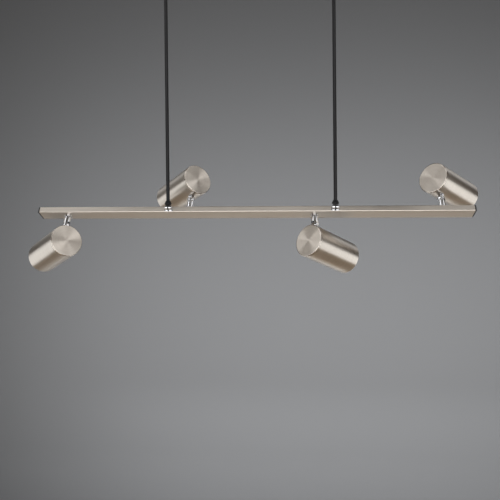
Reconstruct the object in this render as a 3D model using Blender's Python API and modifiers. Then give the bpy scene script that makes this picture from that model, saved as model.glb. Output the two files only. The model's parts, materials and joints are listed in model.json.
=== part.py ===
"""Track light: a flat bar tilted on two rigid stems, with four swivelling spot heads.

Frame: metres, +Z up.  The origin is the middle of the mounting plate's top face, which
lies against the ceiling.  The bar runs along X and the spot heads aim away from -Y.
"""
import bmesh
import bpy
from math import cos, pi, radians
from mathutils import Matrix

# ---------------------------------------------------------------- driving sizes (metres)
TOUCH = 0.0003                # gap kept between pieces that rest on each other
SLIDE = 0.0004                # running clearance round a moving piece
FIT = 0.0003                  # clearance of a hole round what passes through it

BAR_LENGTH = 0.820            # over both end caps
BAR_HEIGHT = 0.028            # across the wide faces
BAR_THICKNESS = 0.012         # across the thin faces
BAR_WALL = 0.0012
BAR_CORNER = 0.0018
BAR_INNER_CORNER = 0.0009
BAR_TILT = 58.0               # degrees that the bar leans forward from hanging straight
END_CAP_PLATE = 0.0022
END_PLUG_DEPTH = 0.010
END_PLUG_WALL = 0.0016
END_PLUG_CORNER = 0.0005

HEAD_COUNT = 4
HEAD_END_MARGIN = 0.056       # outer heads to the ends of the bar
HEAD_SPACING = (BAR_LENGTH - 2.0 * HEAD_END_MARGIN) / (HEAD_COUNT - 1)
STEM_PAST_HEAD = 0.038        # each stem stands this far outside the inner heads
STEM_HALF_SPACING = HEAD_SPACING / 2.0 + STEM_PAST_HEAD
PIN_DROP = 0.448              # ceiling to the fork pins

STEM_DIAMETER = 0.0065
STEM_WALL = 0.00115
STEM_BORE = STEM_DIAMETER - 2.0 * STEM_WALL
STEM_PROUD = 0.002            # stem's upper end above its nut
STEM_COLLAR_FLANGE = 0.00375
STEM_COLLAR_DIAMETER = STEM_DIAMETER + 2.0 * STEM_COLLAR_FLANGE
STEM_COLLAR_LENGTH = 0.008
STEM_COLLAR_CHAMFER = 0.0022
STEM_NUT_WALL = 0.00275
STEM_NUT_ACROSS = STEM_DIAMETER + 2.0 * STEM_NUT_WALL
STEM_NUT_HEIGHT = 0.004
LEAD_DIAMETER = 0.0030
LEAD_TAIL = 0.004             # lead above the stem
CONE_LENGTH = 0.0080
CONE_LIP = 0.00085            # wall of the cone's upper rim
CONE_FLARE = 0.0023
CONE_TOP = STEM_DIAMETER + 2.0 * CONE_LIP
CONE_WIDEST = CONE_TOP + 2.0 * CONE_FLARE
CONE_HEM = 0.0098             # diameter at the cone's underside
CONE_WIDEST_HEIGHT = 0.0036   # heights above the cone's underside
CONE_ROUND_HEIGHT = 0.0018
CONE_SOCKET_HEIGHT = 0.0030

FORK_CROWN_RADIUS = 0.0040    # rounded top of the cheeks, about the pin
FORK_PIN_ROOM = 0.0022        # crown to the bar's thin face
FORK_PIN_HEIGHT = FORK_CROWN_RADIUS + FORK_PIN_ROOM
FORK_FOOT = 0.0014
FORK_FOOT_FRONT = 0.0170      # foot width along the bar at its front edge
FORK_FOOT_BACK = 0.0116
FORK_FLOOR = 0.0010           # foot left under the slot
FORK_CHEEK = 0.0042
FORK_SLOT = 0.0026
FORK_STUB_DIAMETER = 0.0052
FORK_PIN_DIAMETER = 0.0030
FORK_PIN_FLANGE = 0.0013
FORK_PIN_HEAD = FORK_PIN_DIAMETER + 2.0 * FORK_PIN_FLANGE
FORK_PIN_HEAD_HEIGHT = 0.0012
CONE_UNDERSIDE = FORK_CROWN_RADIUS + SLIDE      # fork pin up to the cone
TONGUE_RADIUS = FORK_CROWN_RADIUS - SLIDE
TONGUE_THICKNESS = FORK_SLOT - 2.0 * SLIDE
STUB_REACH = 0.0028           # how far a threaded stub stands inside the bar

CANOPY_MARGIN = 0.030         # stems to the canopy's ends
CANOPY_LENGTH = 2.0 * (STEM_HALF_SPACING + CANOPY_MARGIN)
CANOPY_WIDTH = 0.062
CANOPY_DEPTH = 0.024
CANOPY_WALL = 0.0012
CANOPY_CORNER = 0.0060
CANOPY_SCREW_INSET = 0.041    # stems to the screws that hold the canopy
CANOPY_SCREW_OFFSET = STEM_HALF_SPACING - CANOPY_SCREW_INSET
CANOPY_SCREW_DIAMETER = 0.004
CANOPY_SCREW_HEAD = 0.009
PLATE_INSET = 0.011           # stems to the mounting plate's ends
PLATE_LENGTH = 2.0 * (STEM_HALF_SPACING - PLATE_INSET)
PLATE_WIDTH = 0.044
PLATE_THICKNESS = 0.002
PLATE_SLOT_OFFSET = 0.060     # ceiling screw slots, from the middle
PLATE_SLOT_LENGTH = 0.012
PLATE_SLOT_WIDTH = 0.0046
PLATE_SLOT_CORNER = 0.0021
PLATE_CABLE_HOLE = 0.016
PLATE_CABLE_OFFSET = 0.030
TERMINAL_SIZE = (0.040, 0.020, 0.012)
TERMINAL_CORNER = 0.0015
TERMINAL_OFFSET = -0.030
TERMINAL_PITCH = 0.012
TERMINAL_MOUTH = (0.0064, 0.008, 0.006)
BAR_WIRE_DIAMETER = 0.0026

LAMP_DIAMETER = 0.050
LAMP_LENGTH = 0.050
LAMP_NECK = 0.022
LAMP_NECK_FLARE = 0.001
LAMP_RIM = 0.0016
LAMP_RIM_HEIGHT = 0.004
LENS_LEDGE = 0.0012
LENS_THICKNESS = 0.0020
LENS_BULGE = 0.0008
LAMP_ROOM = 0.0038            # lamp to the inside of the shell
HEAD_WALL = 0.0012
HEAD_DIAMETER = LAMP_DIAMETER + 2.0 * (LAMP_ROOM + HEAD_WALL)
HEAD_LENGTH = 0.107
HEAD_STANDOFF = 0.0285        # bar's wide face to the shell
HEAD_PIVOT_GAP = 0.0072       # tilt pin to the shell
HEAD_LUG_BACK = 0.019         # rear of the head to its lug, along the head
HEAD_AIM = (44.0, 41.5, -43.0, -45.5)   # degrees of pan at rest, head 1 to head 4
MOUTH_BREAK = 0.0004          # rounded lip of the shell
REAR_CAP_DISC = 0.0032
REAR_CAP_SPIGOT = 0.005
REAR_CAP_EDGE = 0.0007
REAR_CAP_WALL = 0.0015
HOLDER_DIAMETER = 0.030
HOLDER_LENGTH = 0.022
HOLDER_GAP = 0.004            # rear cap's spigot to the lampholder's bracket plate
HOLDER_BRACKET = 0.0012

SWIVEL_SPIGOT_DIAMETER = 0.0056
SWIVEL_LEDGE = 0.001          # step that the post's spigot stands on
SWIVEL_BORE = SWIVEL_SPIGOT_DIAMETER - 2.0 * SWIVEL_LEDGE
SWIVEL_STUB_WALL = 0.0008
SWIVEL_STUB_DIAMETER = SWIVEL_SPIGOT_DIAMETER + 2.0 * (SLIDE + SWIVEL_STUB_WALL)
SWIVEL_BASE_FLANGE = 0.0035
SWIVEL_BASE_DIAMETER = SWIVEL_STUB_DIAMETER + 2.0 * SWIVEL_BASE_FLANGE
SWIVEL_BASE_HEIGHT = 0.0028
SWIVEL_BASE_EDGE = 0.0006
POST_DIAMETER = 0.0132
POST_FOOT_EDGE = 0.0005       # chamfer round the post's foot
POST_TIP = 0.0046             # post beyond the tilt pin
POST_TIP_CHAMFER = 0.0024
POST_TIP_EDGE = 0.0020        # chamfer across the end, from the post's edge
POST_FLAT_DEPTH = 0.0008      # flats that the pin's ends rest on
POST_FLAT_BEHIND = 0.0023     # flats behind the pin
LUG_THICKNESS = 0.0046
LUG_RADIUS = 0.0058
LUG_FOOT_DIAMETER = 0.0125
LUG_FOOT_HEIGHT = 0.0004      # the lug's foot stands this far off the shell's highest line
LUG_FOOT_DEPTH = 0.003        # foot beyond that line, before the shell's curve is cut
TILT_PIN_DIAMETER = 0.0032
TILT_PIN_FLANGE = 0.0019
TILT_PIN_HEAD = TILT_PIN_DIAMETER + 2.0 * TILT_PIN_FLANGE
TILT_PIN_HEAD_HEIGHT = 0.0013
TILT_PIN_END = 0.0004         # plain end beyond the post's flat

SIDES = 16
LAMP_SIDES = 20
SHELL_SIDES = 32
HOLE_SIDES = 12
WIRE_SIDES = 10
CUT_PAST = 0.01               # how far a cutter stands past what it cuts
JOIN = 0.001                  # depth that two joined shapes share
# Pairs of (share of the radius, share of the radius below the seat) down a screw's dome.
SCREW_DOME = ((1.0, 0.0), (1.0, 0.3), (0.87, 0.8), (0.5, 1.15), (0.0, 1.3))
# Pairs of (share of the rim's radius, share of the lamp's length from its base).
LAMP_FLANK = ((0.70, 0.55), (0.92, 0.80))
LAMP_BOWL = ((0.78, 0.78), (0.42, 0.50), (0.0, 0.46))
LAMP_NECK_SHARE = 0.30
LENS_FLAT_SHARE = 0.6
PIN_HEAD_FACE = 0.8           # flat end of a pin's head, as a share of its radius

SILVER = (0.62, 0.58, 0.52)
CHROME = (0.80, 0.80, 0.82)
BLACK = (0.012, 0.012, 0.013)
WHITE = (0.85, 0.84, 0.80)


# ------------------------------------------------------------------------ scene helpers
def clear_scene():
    """Remove every object that is in the scene."""
    for old in list(bpy.data.objects):
        bpy.data.objects.remove(old, do_unlink=True)


def make_collection(name):
    """Return a new collection linked to the scene."""
    group = bpy.data.collections.new(name)
    bpy.context.scene.collection.children.link(group)
    return group


def make_material(name, colour, roughness, metallic):
    """Return a Principled material for one sub-part."""
    material = bpy.data.materials.new(name)
    material.use_nodes = True
    shader = material.node_tree.nodes["Principled BSDF"]
    shader.inputs["Base Color"].default_value = (*colour, 1.0)
    shader.inputs["Roughness"].default_value = roughness
    shader.inputs["Metallic"].default_value = metallic
    return material


clear_scene()
PARTS = make_collection("track_light")
CUTTERS = make_collection("cutters")

FINISHES = {
    "nickel": (SILVER, 0.34, 1.0),
    "chrome": (CHROME, 0.06, 1.0),
    "black": (BLACK, 0.35, 0.0),
    "steel": ((0.55, 0.56, 0.57), 0.40, 1.0),
    "ceramic": (WHITE, 0.55, 0.0),
    "glass": ((0.80, 0.83, 0.85), 0.10, 0.0),
    "reflector": ((0.86, 0.86, 0.86), 0.15, 1.0),
    "insulation": ((0.30, 0.31, 0.33), 0.50, 0.0),
}


def make_empty(name, parent=None, location=(0.0, 0.0, 0.0), rotation=(0.0, 0.0, 0.0)):
    """Return an empty that places the pieces parented to it."""
    empty = bpy.data.objects.new(name, None)
    PARTS.objects.link(empty)
    empty.parent = parent
    empty.location = location
    empty.rotation_euler = rotation
    return empty


def add_piece(name, mesh, finish, parent=None, location=(0.0, 0.0, 0.0), turn=(0.0, 0.0, 0.0)):
    """Link a mesh as a named sub-part with its own material."""
    piece = bpy.data.objects.new(name, mesh)
    PARTS.objects.link(piece)
    piece.parent = parent
    piece.location = location
    piece.rotation_euler = turn
    mesh.materials.append(make_material(name + "_finish", *FINISHES[finish]))
    return piece


def add_cutter(name, mesh, parent=None, location=(0.0, 0.0, 0.0), turn=(0.0, 0.0, 0.0)):
    """Link a mesh as a hidden cutting tool."""
    cutter = bpy.data.objects.new(name, mesh)
    CUTTERS.objects.link(cutter)
    cutter.parent = parent
    cutter.location = location
    cutter.rotation_euler = turn
    cutter.hide_render = True
    cutter.display_type = "WIRE"
    return cutter


def boolean(piece, other, operation="DIFFERENCE"):
    """Cut one piece with another object, or join the two."""
    step = piece.modifiers.new(operation.lower() + "_" + other.name, "BOOLEAN")
    step.operation = operation
    step.solver = "EXACT"
    step.object = other
    return step


def mesh_from(name, build):
    """Return a mesh that the build function fills through bmesh."""
    mesh = bpy.data.meshes.new(name)
    work = bmesh.new()
    build(work)
    bmesh.ops.recalc_face_normals(work, faces=work.faces)
    work.to_mesh(mesh)
    work.free()
    return mesh


# ------------------------------------------------------------------------ shape helpers
def box_mesh(name, size, centre=(0.0, 0.0, 0.0)):
    """Return a plain box."""
    def build(work):
        place = Matrix.Translation(centre) @ Matrix.Diagonal((*size, 1.0))
        bmesh.ops.create_cube(work, size=1.0, matrix=place)
    return mesh_from(name, build)


def rounded_box_mesh(name, size, corner, along, centre=(0.0, 0.0, 0.0), segments=3):
    """Return a box whose edges that run along one axis (0, 1 or 2) are rounded."""
    def build(work):
        place = Matrix.Translation(centre) @ Matrix.Diagonal((*size, 1.0))
        bmesh.ops.create_cube(work, size=1.0, matrix=place)
        long_edges = []
        for edge in work.edges:
            run = edge.verts[0].co - edge.verts[1].co
            if abs(run[along]) > 0.5 * size[along]:
                long_edges.append(edge)
        bmesh.ops.bevel(work, geom=long_edges, offset=corner, segments=segments,
                        profile=0.5, affect="EDGES")
    return mesh_from(name, build)


def rod_mesh(name, diameter, low, high, sides=SIDES):
    """Return a closed cylinder on Z between two heights."""
    def build(work):
        place = Matrix.Translation((0.0, 0.0, (low + high) / 2.0))
        bmesh.ops.create_cone(work, cap_ends=True, segments=sides, radius1=diameter / 2.0,
                              radius2=diameter / 2.0, depth=high - low, matrix=place)
    return mesh_from(name, build)


def turned_piece(name, profile, finish, parent=None, location=(0.0, 0.0, 0.0),
                 turn=(0.0, 0.0, 0.0), sides=SIDES, closed=False):
    """Turn a profile of (radius, height) points, given down the outer side, about Z."""
    mesh = bpy.data.meshes.new(name)
    points = [(radius, 0.0, height) for radius, height in profile]
    edges = [(i, i + 1) for i in range(len(points) - 1)]
    if closed:
        edges.append((len(points) - 1, 0))
    mesh.from_pydata(points, edges, [])
    piece = add_piece(name, mesh, finish, parent, location, turn)
    screw = piece.modifiers.new("turn", "SCREW")
    screw.axis = "Z"
    screw.angle = 2.0 * pi
    screw.steps = sides
    screw.render_steps = sides
    screw.use_merge_vertices = True
    screw.merge_threshold = 0.00002
    screw.use_smooth_shade = True
    return piece


OUTWARD = (pi / 2.0, 0.0, 0.0)     # turns a piece's +Z to -Y, outward from the bar
ACROSS = (0.0, pi / 2.0, 0.0)      # turns a piece's +Z to +X, along the bar


# -------------------------------------------------------------------------- the ceiling
def build_canopy():
    """Mounting plate, canopy shell and the pieces that hold them together."""
    plate = add_piece("mounting_plate", box_mesh("mounting_plate", (
        PLATE_LENGTH, PLATE_WIDTH, PLATE_THICKNESS), (0.0, 0.0, -PLATE_THICKNESS / 2.0)), "steel")
    for side in (-1, 1):
        slot = add_cutter("plate_slot_cut", rounded_box_mesh("plate_slot_cut", (
            PLATE_SLOT_LENGTH, PLATE_SLOT_WIDTH, 4.0 * PLATE_THICKNESS),
            PLATE_SLOT_CORNER, 2), location=(side * PLATE_SLOT_OFFSET, 0.0, 0.0))
        boolean(plate, slot)
        thread = add_cutter("plate_thread_cut", rod_mesh(
            "plate_thread_cut", CANOPY_SCREW_DIAMETER + 2.0 * FIT, -2.0 * PLATE_THICKNESS,
            2.0 * PLATE_THICKNESS, HOLE_SIDES), location=(side * CANOPY_SCREW_OFFSET, 0.0, 0.0))
        boolean(plate, thread)
    cable = add_cutter("plate_cable_cut", rod_mesh(
        "plate_cable_cut", PLATE_CABLE_HOLE, -2.0 * PLATE_THICKNESS, 2.0 * PLATE_THICKNESS, SIDES),
        location=(PLATE_CABLE_OFFSET, 0.0, 0.0))
    boolean(plate, cable)

    canopy = add_piece("canopy_shell", rounded_box_mesh(
        "canopy_shell", (CANOPY_LENGTH, CANOPY_WIDTH, CANOPY_DEPTH), CANOPY_CORNER, 2,
        (0.0, 0.0, -CANOPY_DEPTH / 2.0), 5), "nickel")
    inner_depth = CANOPY_DEPTH - CANOPY_WALL
    hollow = add_cutter("canopy_hollow_cut", rounded_box_mesh(
        "canopy_hollow_cut", (CANOPY_LENGTH - 2.0 * CANOPY_WALL, CANOPY_WIDTH - 2.0 * CANOPY_WALL,
                              2.0 * inner_depth), CANOPY_CORNER - CANOPY_WALL, 2, segments=5))
    boolean(canopy, hollow)
    for side in (-1, 1):
        for tag, offset, hole in (("stem", STEM_HALF_SPACING, STEM_DIAMETER),
                                  ("screw", CANOPY_SCREW_OFFSET, CANOPY_SCREW_DIAMETER)):
            cut = add_cutter("canopy_" + tag + "_cut", rod_mesh(
                "canopy_" + tag + "_cut", hole + 2.0 * FIT, -CANOPY_DEPTH - CANOPY_WALL,
                -CANOPY_DEPTH + 3.0 * CANOPY_WALL, HOLE_SIDES), location=(side * offset, 0.0, 0.0))
            boolean(canopy, cut)

    for side, word in ((-1, "left"), (1, "right")):
        x = side * CANOPY_SCREW_OFFSET
        under = -CANOPY_DEPTH - TOUCH
        radius = CANOPY_SCREW_HEAD / 2.0
        shank = CANOPY_SCREW_DIAMETER / 2.0
        profile = [(0.0, -TOUCH), (shank, -TOUCH), (shank, under)]
        for reach, fall in SCREW_DOME:
            profile.append((reach * radius, under - fall * radius))
        turned_piece("canopy_screw_" + word, profile, "chrome", location=(x, 0.0, 0.0), sides=SIDES)

    terminal = add_piece("terminal_block", rounded_box_mesh(
        "terminal_block", TERMINAL_SIZE, TERMINAL_CORNER, 0,
        (TERMINAL_OFFSET, 0.0, -PLATE_THICKNESS - TOUCH - TERMINAL_SIZE[2] / 2.0), 2), "ceramic")
    for row in (-1, 0, 1):
        mouth = add_cutter("terminal_mouth_cut", box_mesh("terminal_mouth_cut", TERMINAL_MOUTH),
                           location=(TERMINAL_OFFSET + row * TERMINAL_PITCH,
                                     TERMINAL_SIZE[1] / 2.0,
                                     -PLATE_THICKNESS - TOUCH - TERMINAL_SIZE[2] / 2.0))
        boolean(terminal, mouth)


def build_stem(side, word):
    """One stem with its collar, nut, cone and the lead or cross pin it carries."""
    x = side * STEM_HALF_SPACING
    stem_radius = STEM_DIAMETER / 2.0
    bore_radius = STEM_BORE / 2.0
    nut_bottom = -CANOPY_DEPTH + CANOPY_WALL + TOUCH
    stem_top = nut_bottom + STEM_NUT_HEIGHT + STEM_PROUD
    cone_bottom = -PIN_DROP + CONE_UNDERSIDE
    cone_top = cone_bottom + CONE_LENGTH
    socket_floor = cone_bottom + CONE_SOCKET_HEIGHT
    stem_bottom = socket_floor + TOUCH

    turned_piece("stem_" + word, [
        (stem_radius, stem_top), (stem_radius, stem_bottom),
        (bore_radius, stem_bottom), (bore_radius, stem_top)],
        "black", location=(x, 0.0, 0.0), sides=SIDES, closed=True)

    # The cone is turned with a blind socket for the stem; a flat tongue hangs below it.
    cone = turned_piece("stem_cone_" + word, [
        (0.0, socket_floor), (stem_radius + FIT, socket_floor), (stem_radius + FIT, cone_top),
        (CONE_TOP / 2.0, cone_top), (CONE_WIDEST / 2.0, cone_bottom + CONE_WIDEST_HEIGHT),
        (CONE_WIDEST / 2.0, cone_bottom + CONE_ROUND_HEIGHT), (CONE_HEM / 2.0, cone_bottom),
        (0.0, cone_bottom)],
        "black", location=(x, 0.0, 0.0))
    tongue_width = 2.0 * TONGUE_RADIUS
    tongue = add_cutter("tongue_join_" + word, box_mesh("tongue_join_" + word, (
        TONGUE_THICKNESS, tongue_width, CONE_UNDERSIDE + JOIN),
        (0.0, 0.0, -PIN_DROP + (CONE_UNDERSIDE + JOIN) / 2.0)), location=(x, 0.0, 0.0))
    tip = add_cutter("tongue_tip_" + word, rod_mesh(
        "tongue_tip_" + word, tongue_width, -TONGUE_THICKNESS / 2.0, TONGUE_THICKNESS / 2.0, SIDES),
        location=(x, 0.0, -PIN_DROP), turn=ACROSS)
    eye = add_cutter("tongue_eye_" + word, rod_mesh(
        "tongue_eye_" + word, FORK_PIN_DIAMETER + 2.0 * FIT, -FORK_SLOT, FORK_SLOT, HOLE_SIDES),
        location=(x, 0.0, -PIN_DROP), turn=ACROSS)
    boolean(cone, tongue, "UNION")
    boolean(cone, tip, "UNION")
    boolean(cone, eye)

    collar_bottom = -CANOPY_DEPTH - TOUCH - STEM_COLLAR_LENGTH
    turned_piece("stem_collar_" + word, [
        (stem_radius + FIT, -CANOPY_DEPTH - TOUCH),
        (STEM_COLLAR_DIAMETER / 2.0, -CANOPY_DEPTH - TOUCH),
        (STEM_COLLAR_DIAMETER / 2.0, collar_bottom + STEM_COLLAR_CHAMFER),
        (STEM_COLLAR_DIAMETER / 2.0 - STEM_COLLAR_CHAMFER, collar_bottom),
        (stem_radius + FIT, collar_bottom)],
        "black", location=(x, 0.0, 0.0), closed=True)

    nut = add_piece("stem_nut_" + word, rod_mesh(
        "stem_nut_" + word, STEM_NUT_ACROSS / cos(pi / 6.0), nut_bottom,
        nut_bottom + STEM_NUT_HEIGHT, 6), "steel", location=(x, 0.0, 0.0))
    nut_hole = add_cutter("stem_nut_cut_" + word, rod_mesh(
        "stem_nut_cut_" + word, STEM_DIAMETER + 2.0 * FIT, nut_bottom - TOUCH,
        nut_bottom + 2.0 * STEM_NUT_HEIGHT, SIDES), location=(x, 0.0, 0.0))
    boolean(nut, nut_hole)
    return stem_top, stem_bottom


def build_supply_lead(top, bottom):
    """The lead that runs down inside the left stem."""
    lead = rod_mesh("supply_lead", LEAD_DIAMETER, bottom + TOUCH, top + LEAD_TAIL, HOLE_SIDES)
    add_piece("supply_lead", lead, "insulation", location=(-STEM_HALF_SPACING, 0.0, 0.0))


# ------------------------------------------------------------------------------ the bar
def fork_positions():
    """X of the two forks with their names."""
    return ((-STEM_HALF_SPACING, "left"), (STEM_HALF_SPACING, "right"))


def head_positions():
    """(number, X, side of the bar, pan) of each head; side -1 is the front face."""
    rows = []
    for index, aim in enumerate(HEAD_AIM):
        x = (index - (HEAD_COUNT - 1) / 2.0) * HEAD_SPACING
        side = -1 if index % 2 == 0 else 1
        rows.append((index + 1, x, side, aim))
    return rows


def build_bar(frame):
    """The hollow bar, its end caps, its two forks and its wire; frame is on the bar's axis."""
    tube_length = BAR_LENGTH - 2.0 * (END_CAP_PLATE + TOUCH)
    inner_height = BAR_HEIGHT - 2.0 * BAR_WALL
    inner_thickness = BAR_THICKNESS - 2.0 * BAR_WALL
    tube = add_piece("bar_tube", rounded_box_mesh(
        "bar_tube", (tube_length, BAR_THICKNESS, BAR_HEIGHT), BAR_CORNER, 0), "nickel", frame)
    hollow = add_cutter("bar_hollow_cut", rounded_box_mesh(
        "bar_hollow_cut", (tube_length + CUT_PAST, inner_thickness, inner_height),
        BAR_INNER_CORNER, 0), frame)
    boolean(tube, hollow)
    for x, word in fork_positions():
        hole = add_cutter("bar_fork_cut_" + word, rod_mesh(
            "bar_fork_cut_" + word, FORK_STUB_DIAMETER + 2.0 * FIT, BAR_HEIGHT / 2.0 - 2.0 * BAR_WALL,
            BAR_HEIGHT / 2.0 + BAR_WALL, HOLE_SIDES), frame, (x, 0.0, 0.0))
        boolean(tube, hole)
    for number, x, side, aim in head_positions():
        hole = add_cutter("bar_swivel_cut_%d" % number, rod_mesh(
            "bar_swivel_cut_%d" % number, SWIVEL_STUB_DIAMETER + 2.0 * FIT, -BAR_WALL,
            BAR_WALL, SIDES), frame, (x, side * BAR_THICKNESS / 2.0, 0.0), OUTWARD)
        boolean(tube, hole)

    for side, word in ((-1, "left"), (1, "right")):
        cap = add_piece("end_cap_" + word, rounded_box_mesh(
            "end_cap_" + word, (END_CAP_PLATE, BAR_THICKNESS, BAR_HEIGHT), BAR_CORNER, 0),
            "black", frame, (side * (BAR_LENGTH - END_CAP_PLATE) / 2.0, 0.0, 0.0))
        plug = add_cutter("end_plug_" + word, rounded_box_mesh(
            "end_plug_" + word, (END_PLUG_DEPTH, inner_thickness - 2.0 * FIT,
                                 inner_height - 2.0 * FIT), END_PLUG_CORNER, 0, segments=1), frame,
            (side * (BAR_LENGTH / 2.0 - END_CAP_PLATE / 2.0 - END_PLUG_DEPTH / 2.0), 0.0, 0.0))
        pocket = add_cutter("end_pocket_" + word, box_mesh("end_pocket_" + word, (
            END_PLUG_DEPTH, inner_thickness - 2.0 * END_PLUG_WALL,
            inner_height - 2.0 * END_PLUG_WALL)), frame,
            (side * (BAR_LENGTH / 2.0 - END_CAP_PLATE - END_PLUG_DEPTH / 2.0), 0.0, 0.0))
        boolean(cap, plug, "UNION")
        boolean(cap, pocket)

    for x, word in fork_positions():
        build_fork(frame, x, word)

    wire_reach = (HEAD_COUNT - 1) / 2.0 * HEAD_SPACING + SWIVEL_STUB_DIAMETER
    wire_drop = -BAR_HEIGHT / 2.0 + BAR_WALL + BAR_WIRE_DIAMETER
    wire = rod_mesh("bar_wire", BAR_WIRE_DIAMETER, -wire_reach, wire_reach, WIRE_SIDES)
    add_piece("bar_wire", wire, "insulation", frame, (0.0, 0.0, wire_drop), ACROSS)


def build_fork(frame, x, word):
    """A chrome fork on the bar's thin face: flared foot, two cheeks and a stub."""
    face = BAR_HEIGHT / 2.0 + TOUCH
    outer = 2.0 * FORK_CHEEK + FORK_SLOT
    foot_depth = BAR_THICKNESS - BAR_CORNER

    def build_foot(work):
        bmesh.ops.create_cube(work, size=1.0, matrix=Matrix.Translation(
            (0.0, 0.0, face + FORK_FOOT / 2.0)) @ Matrix.Diagonal((
                1.0, foot_depth, FORK_FOOT, 1.0)))
        for corner in work.verts:
            width = FORK_FOOT_FRONT if corner.co.y < 0.0 else FORK_FOOT_BACK
            corner.co.x = width / 2.0 if corner.co.x > 0.0 else -width / 2.0

    fork = add_piece("fork_" + word, mesh_from("fork_" + word, build_foot), "chrome", frame,
                     (x, 0.0, 0.0))
    block = add_cutter("fork_block_" + word, box_mesh("fork_block_" + word, (
        outer, 2.0 * FORK_CROWN_RADIUS, FORK_PIN_HEIGHT), (
            0.0, 0.0, face + FORK_PIN_HEIGHT / 2.0)), frame, (x, 0.0, 0.0))
    crown = add_cutter("fork_crown_" + word, rod_mesh(
        "fork_crown_" + word, 2.0 * FORK_CROWN_RADIUS, -outer / 2.0, outer / 2.0, SIDES),
        frame, (x, 0.0, BAR_HEIGHT / 2.0 + FORK_PIN_HEIGHT), ACROSS)
    stub = add_cutter("fork_stub_" + word, rod_mesh(
        "fork_stub_" + word, FORK_STUB_DIAMETER, BAR_HEIGHT / 2.0 - BAR_WALL - STUB_REACH,
        face + FORK_FOOT / 2.0, HOLE_SIDES), frame, (x, 0.0, 0.0))
    slot = add_cutter("fork_slot_" + word, box_mesh("fork_slot_" + word, (
        FORK_SLOT, 4.0 * FORK_CROWN_RADIUS, 2.0 * CUT_PAST), (
            0.0, 0.0, face + FORK_FLOOR + CUT_PAST)), frame, (x, 0.0, 0.0))
    eye = add_cutter("fork_eye_" + word, rod_mesh(
        "fork_eye_" + word, FORK_PIN_DIAMETER + 2.0 * FIT, -outer, outer, HOLE_SIDES),
        frame, (x, 0.0, BAR_HEIGHT / 2.0 + FORK_PIN_HEIGHT), ACROSS)
    boolean(fork, block, "UNION")
    boolean(fork, crown, "UNION")
    boolean(fork, stub, "UNION")
    boolean(fork, slot)
    boolean(fork, eye)

    head_start = outer / 2.0 + TOUCH
    pin_radius = FORK_PIN_DIAMETER / 2.0
    head_radius = FORK_PIN_HEAD / 2.0
    turned_piece("fork_pin_" + word, [
        (0.0, head_start + FORK_PIN_HEAD_HEIGHT),
        (PIN_HEAD_FACE * head_radius, head_start + FORK_PIN_HEAD_HEIGHT),
        (head_radius, head_start + FORK_PIN_HEAD_HEIGHT / 2.0), (head_radius, head_start),
        (pin_radius, head_start), (pin_radius, -head_start - TOUCH),
        (0.0, -head_start - TOUCH)],
        "chrome", frame, (x, 0.0, BAR_HEIGHT / 2.0 + FORK_PIN_HEIGHT), ACROSS, SIDES)


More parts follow.
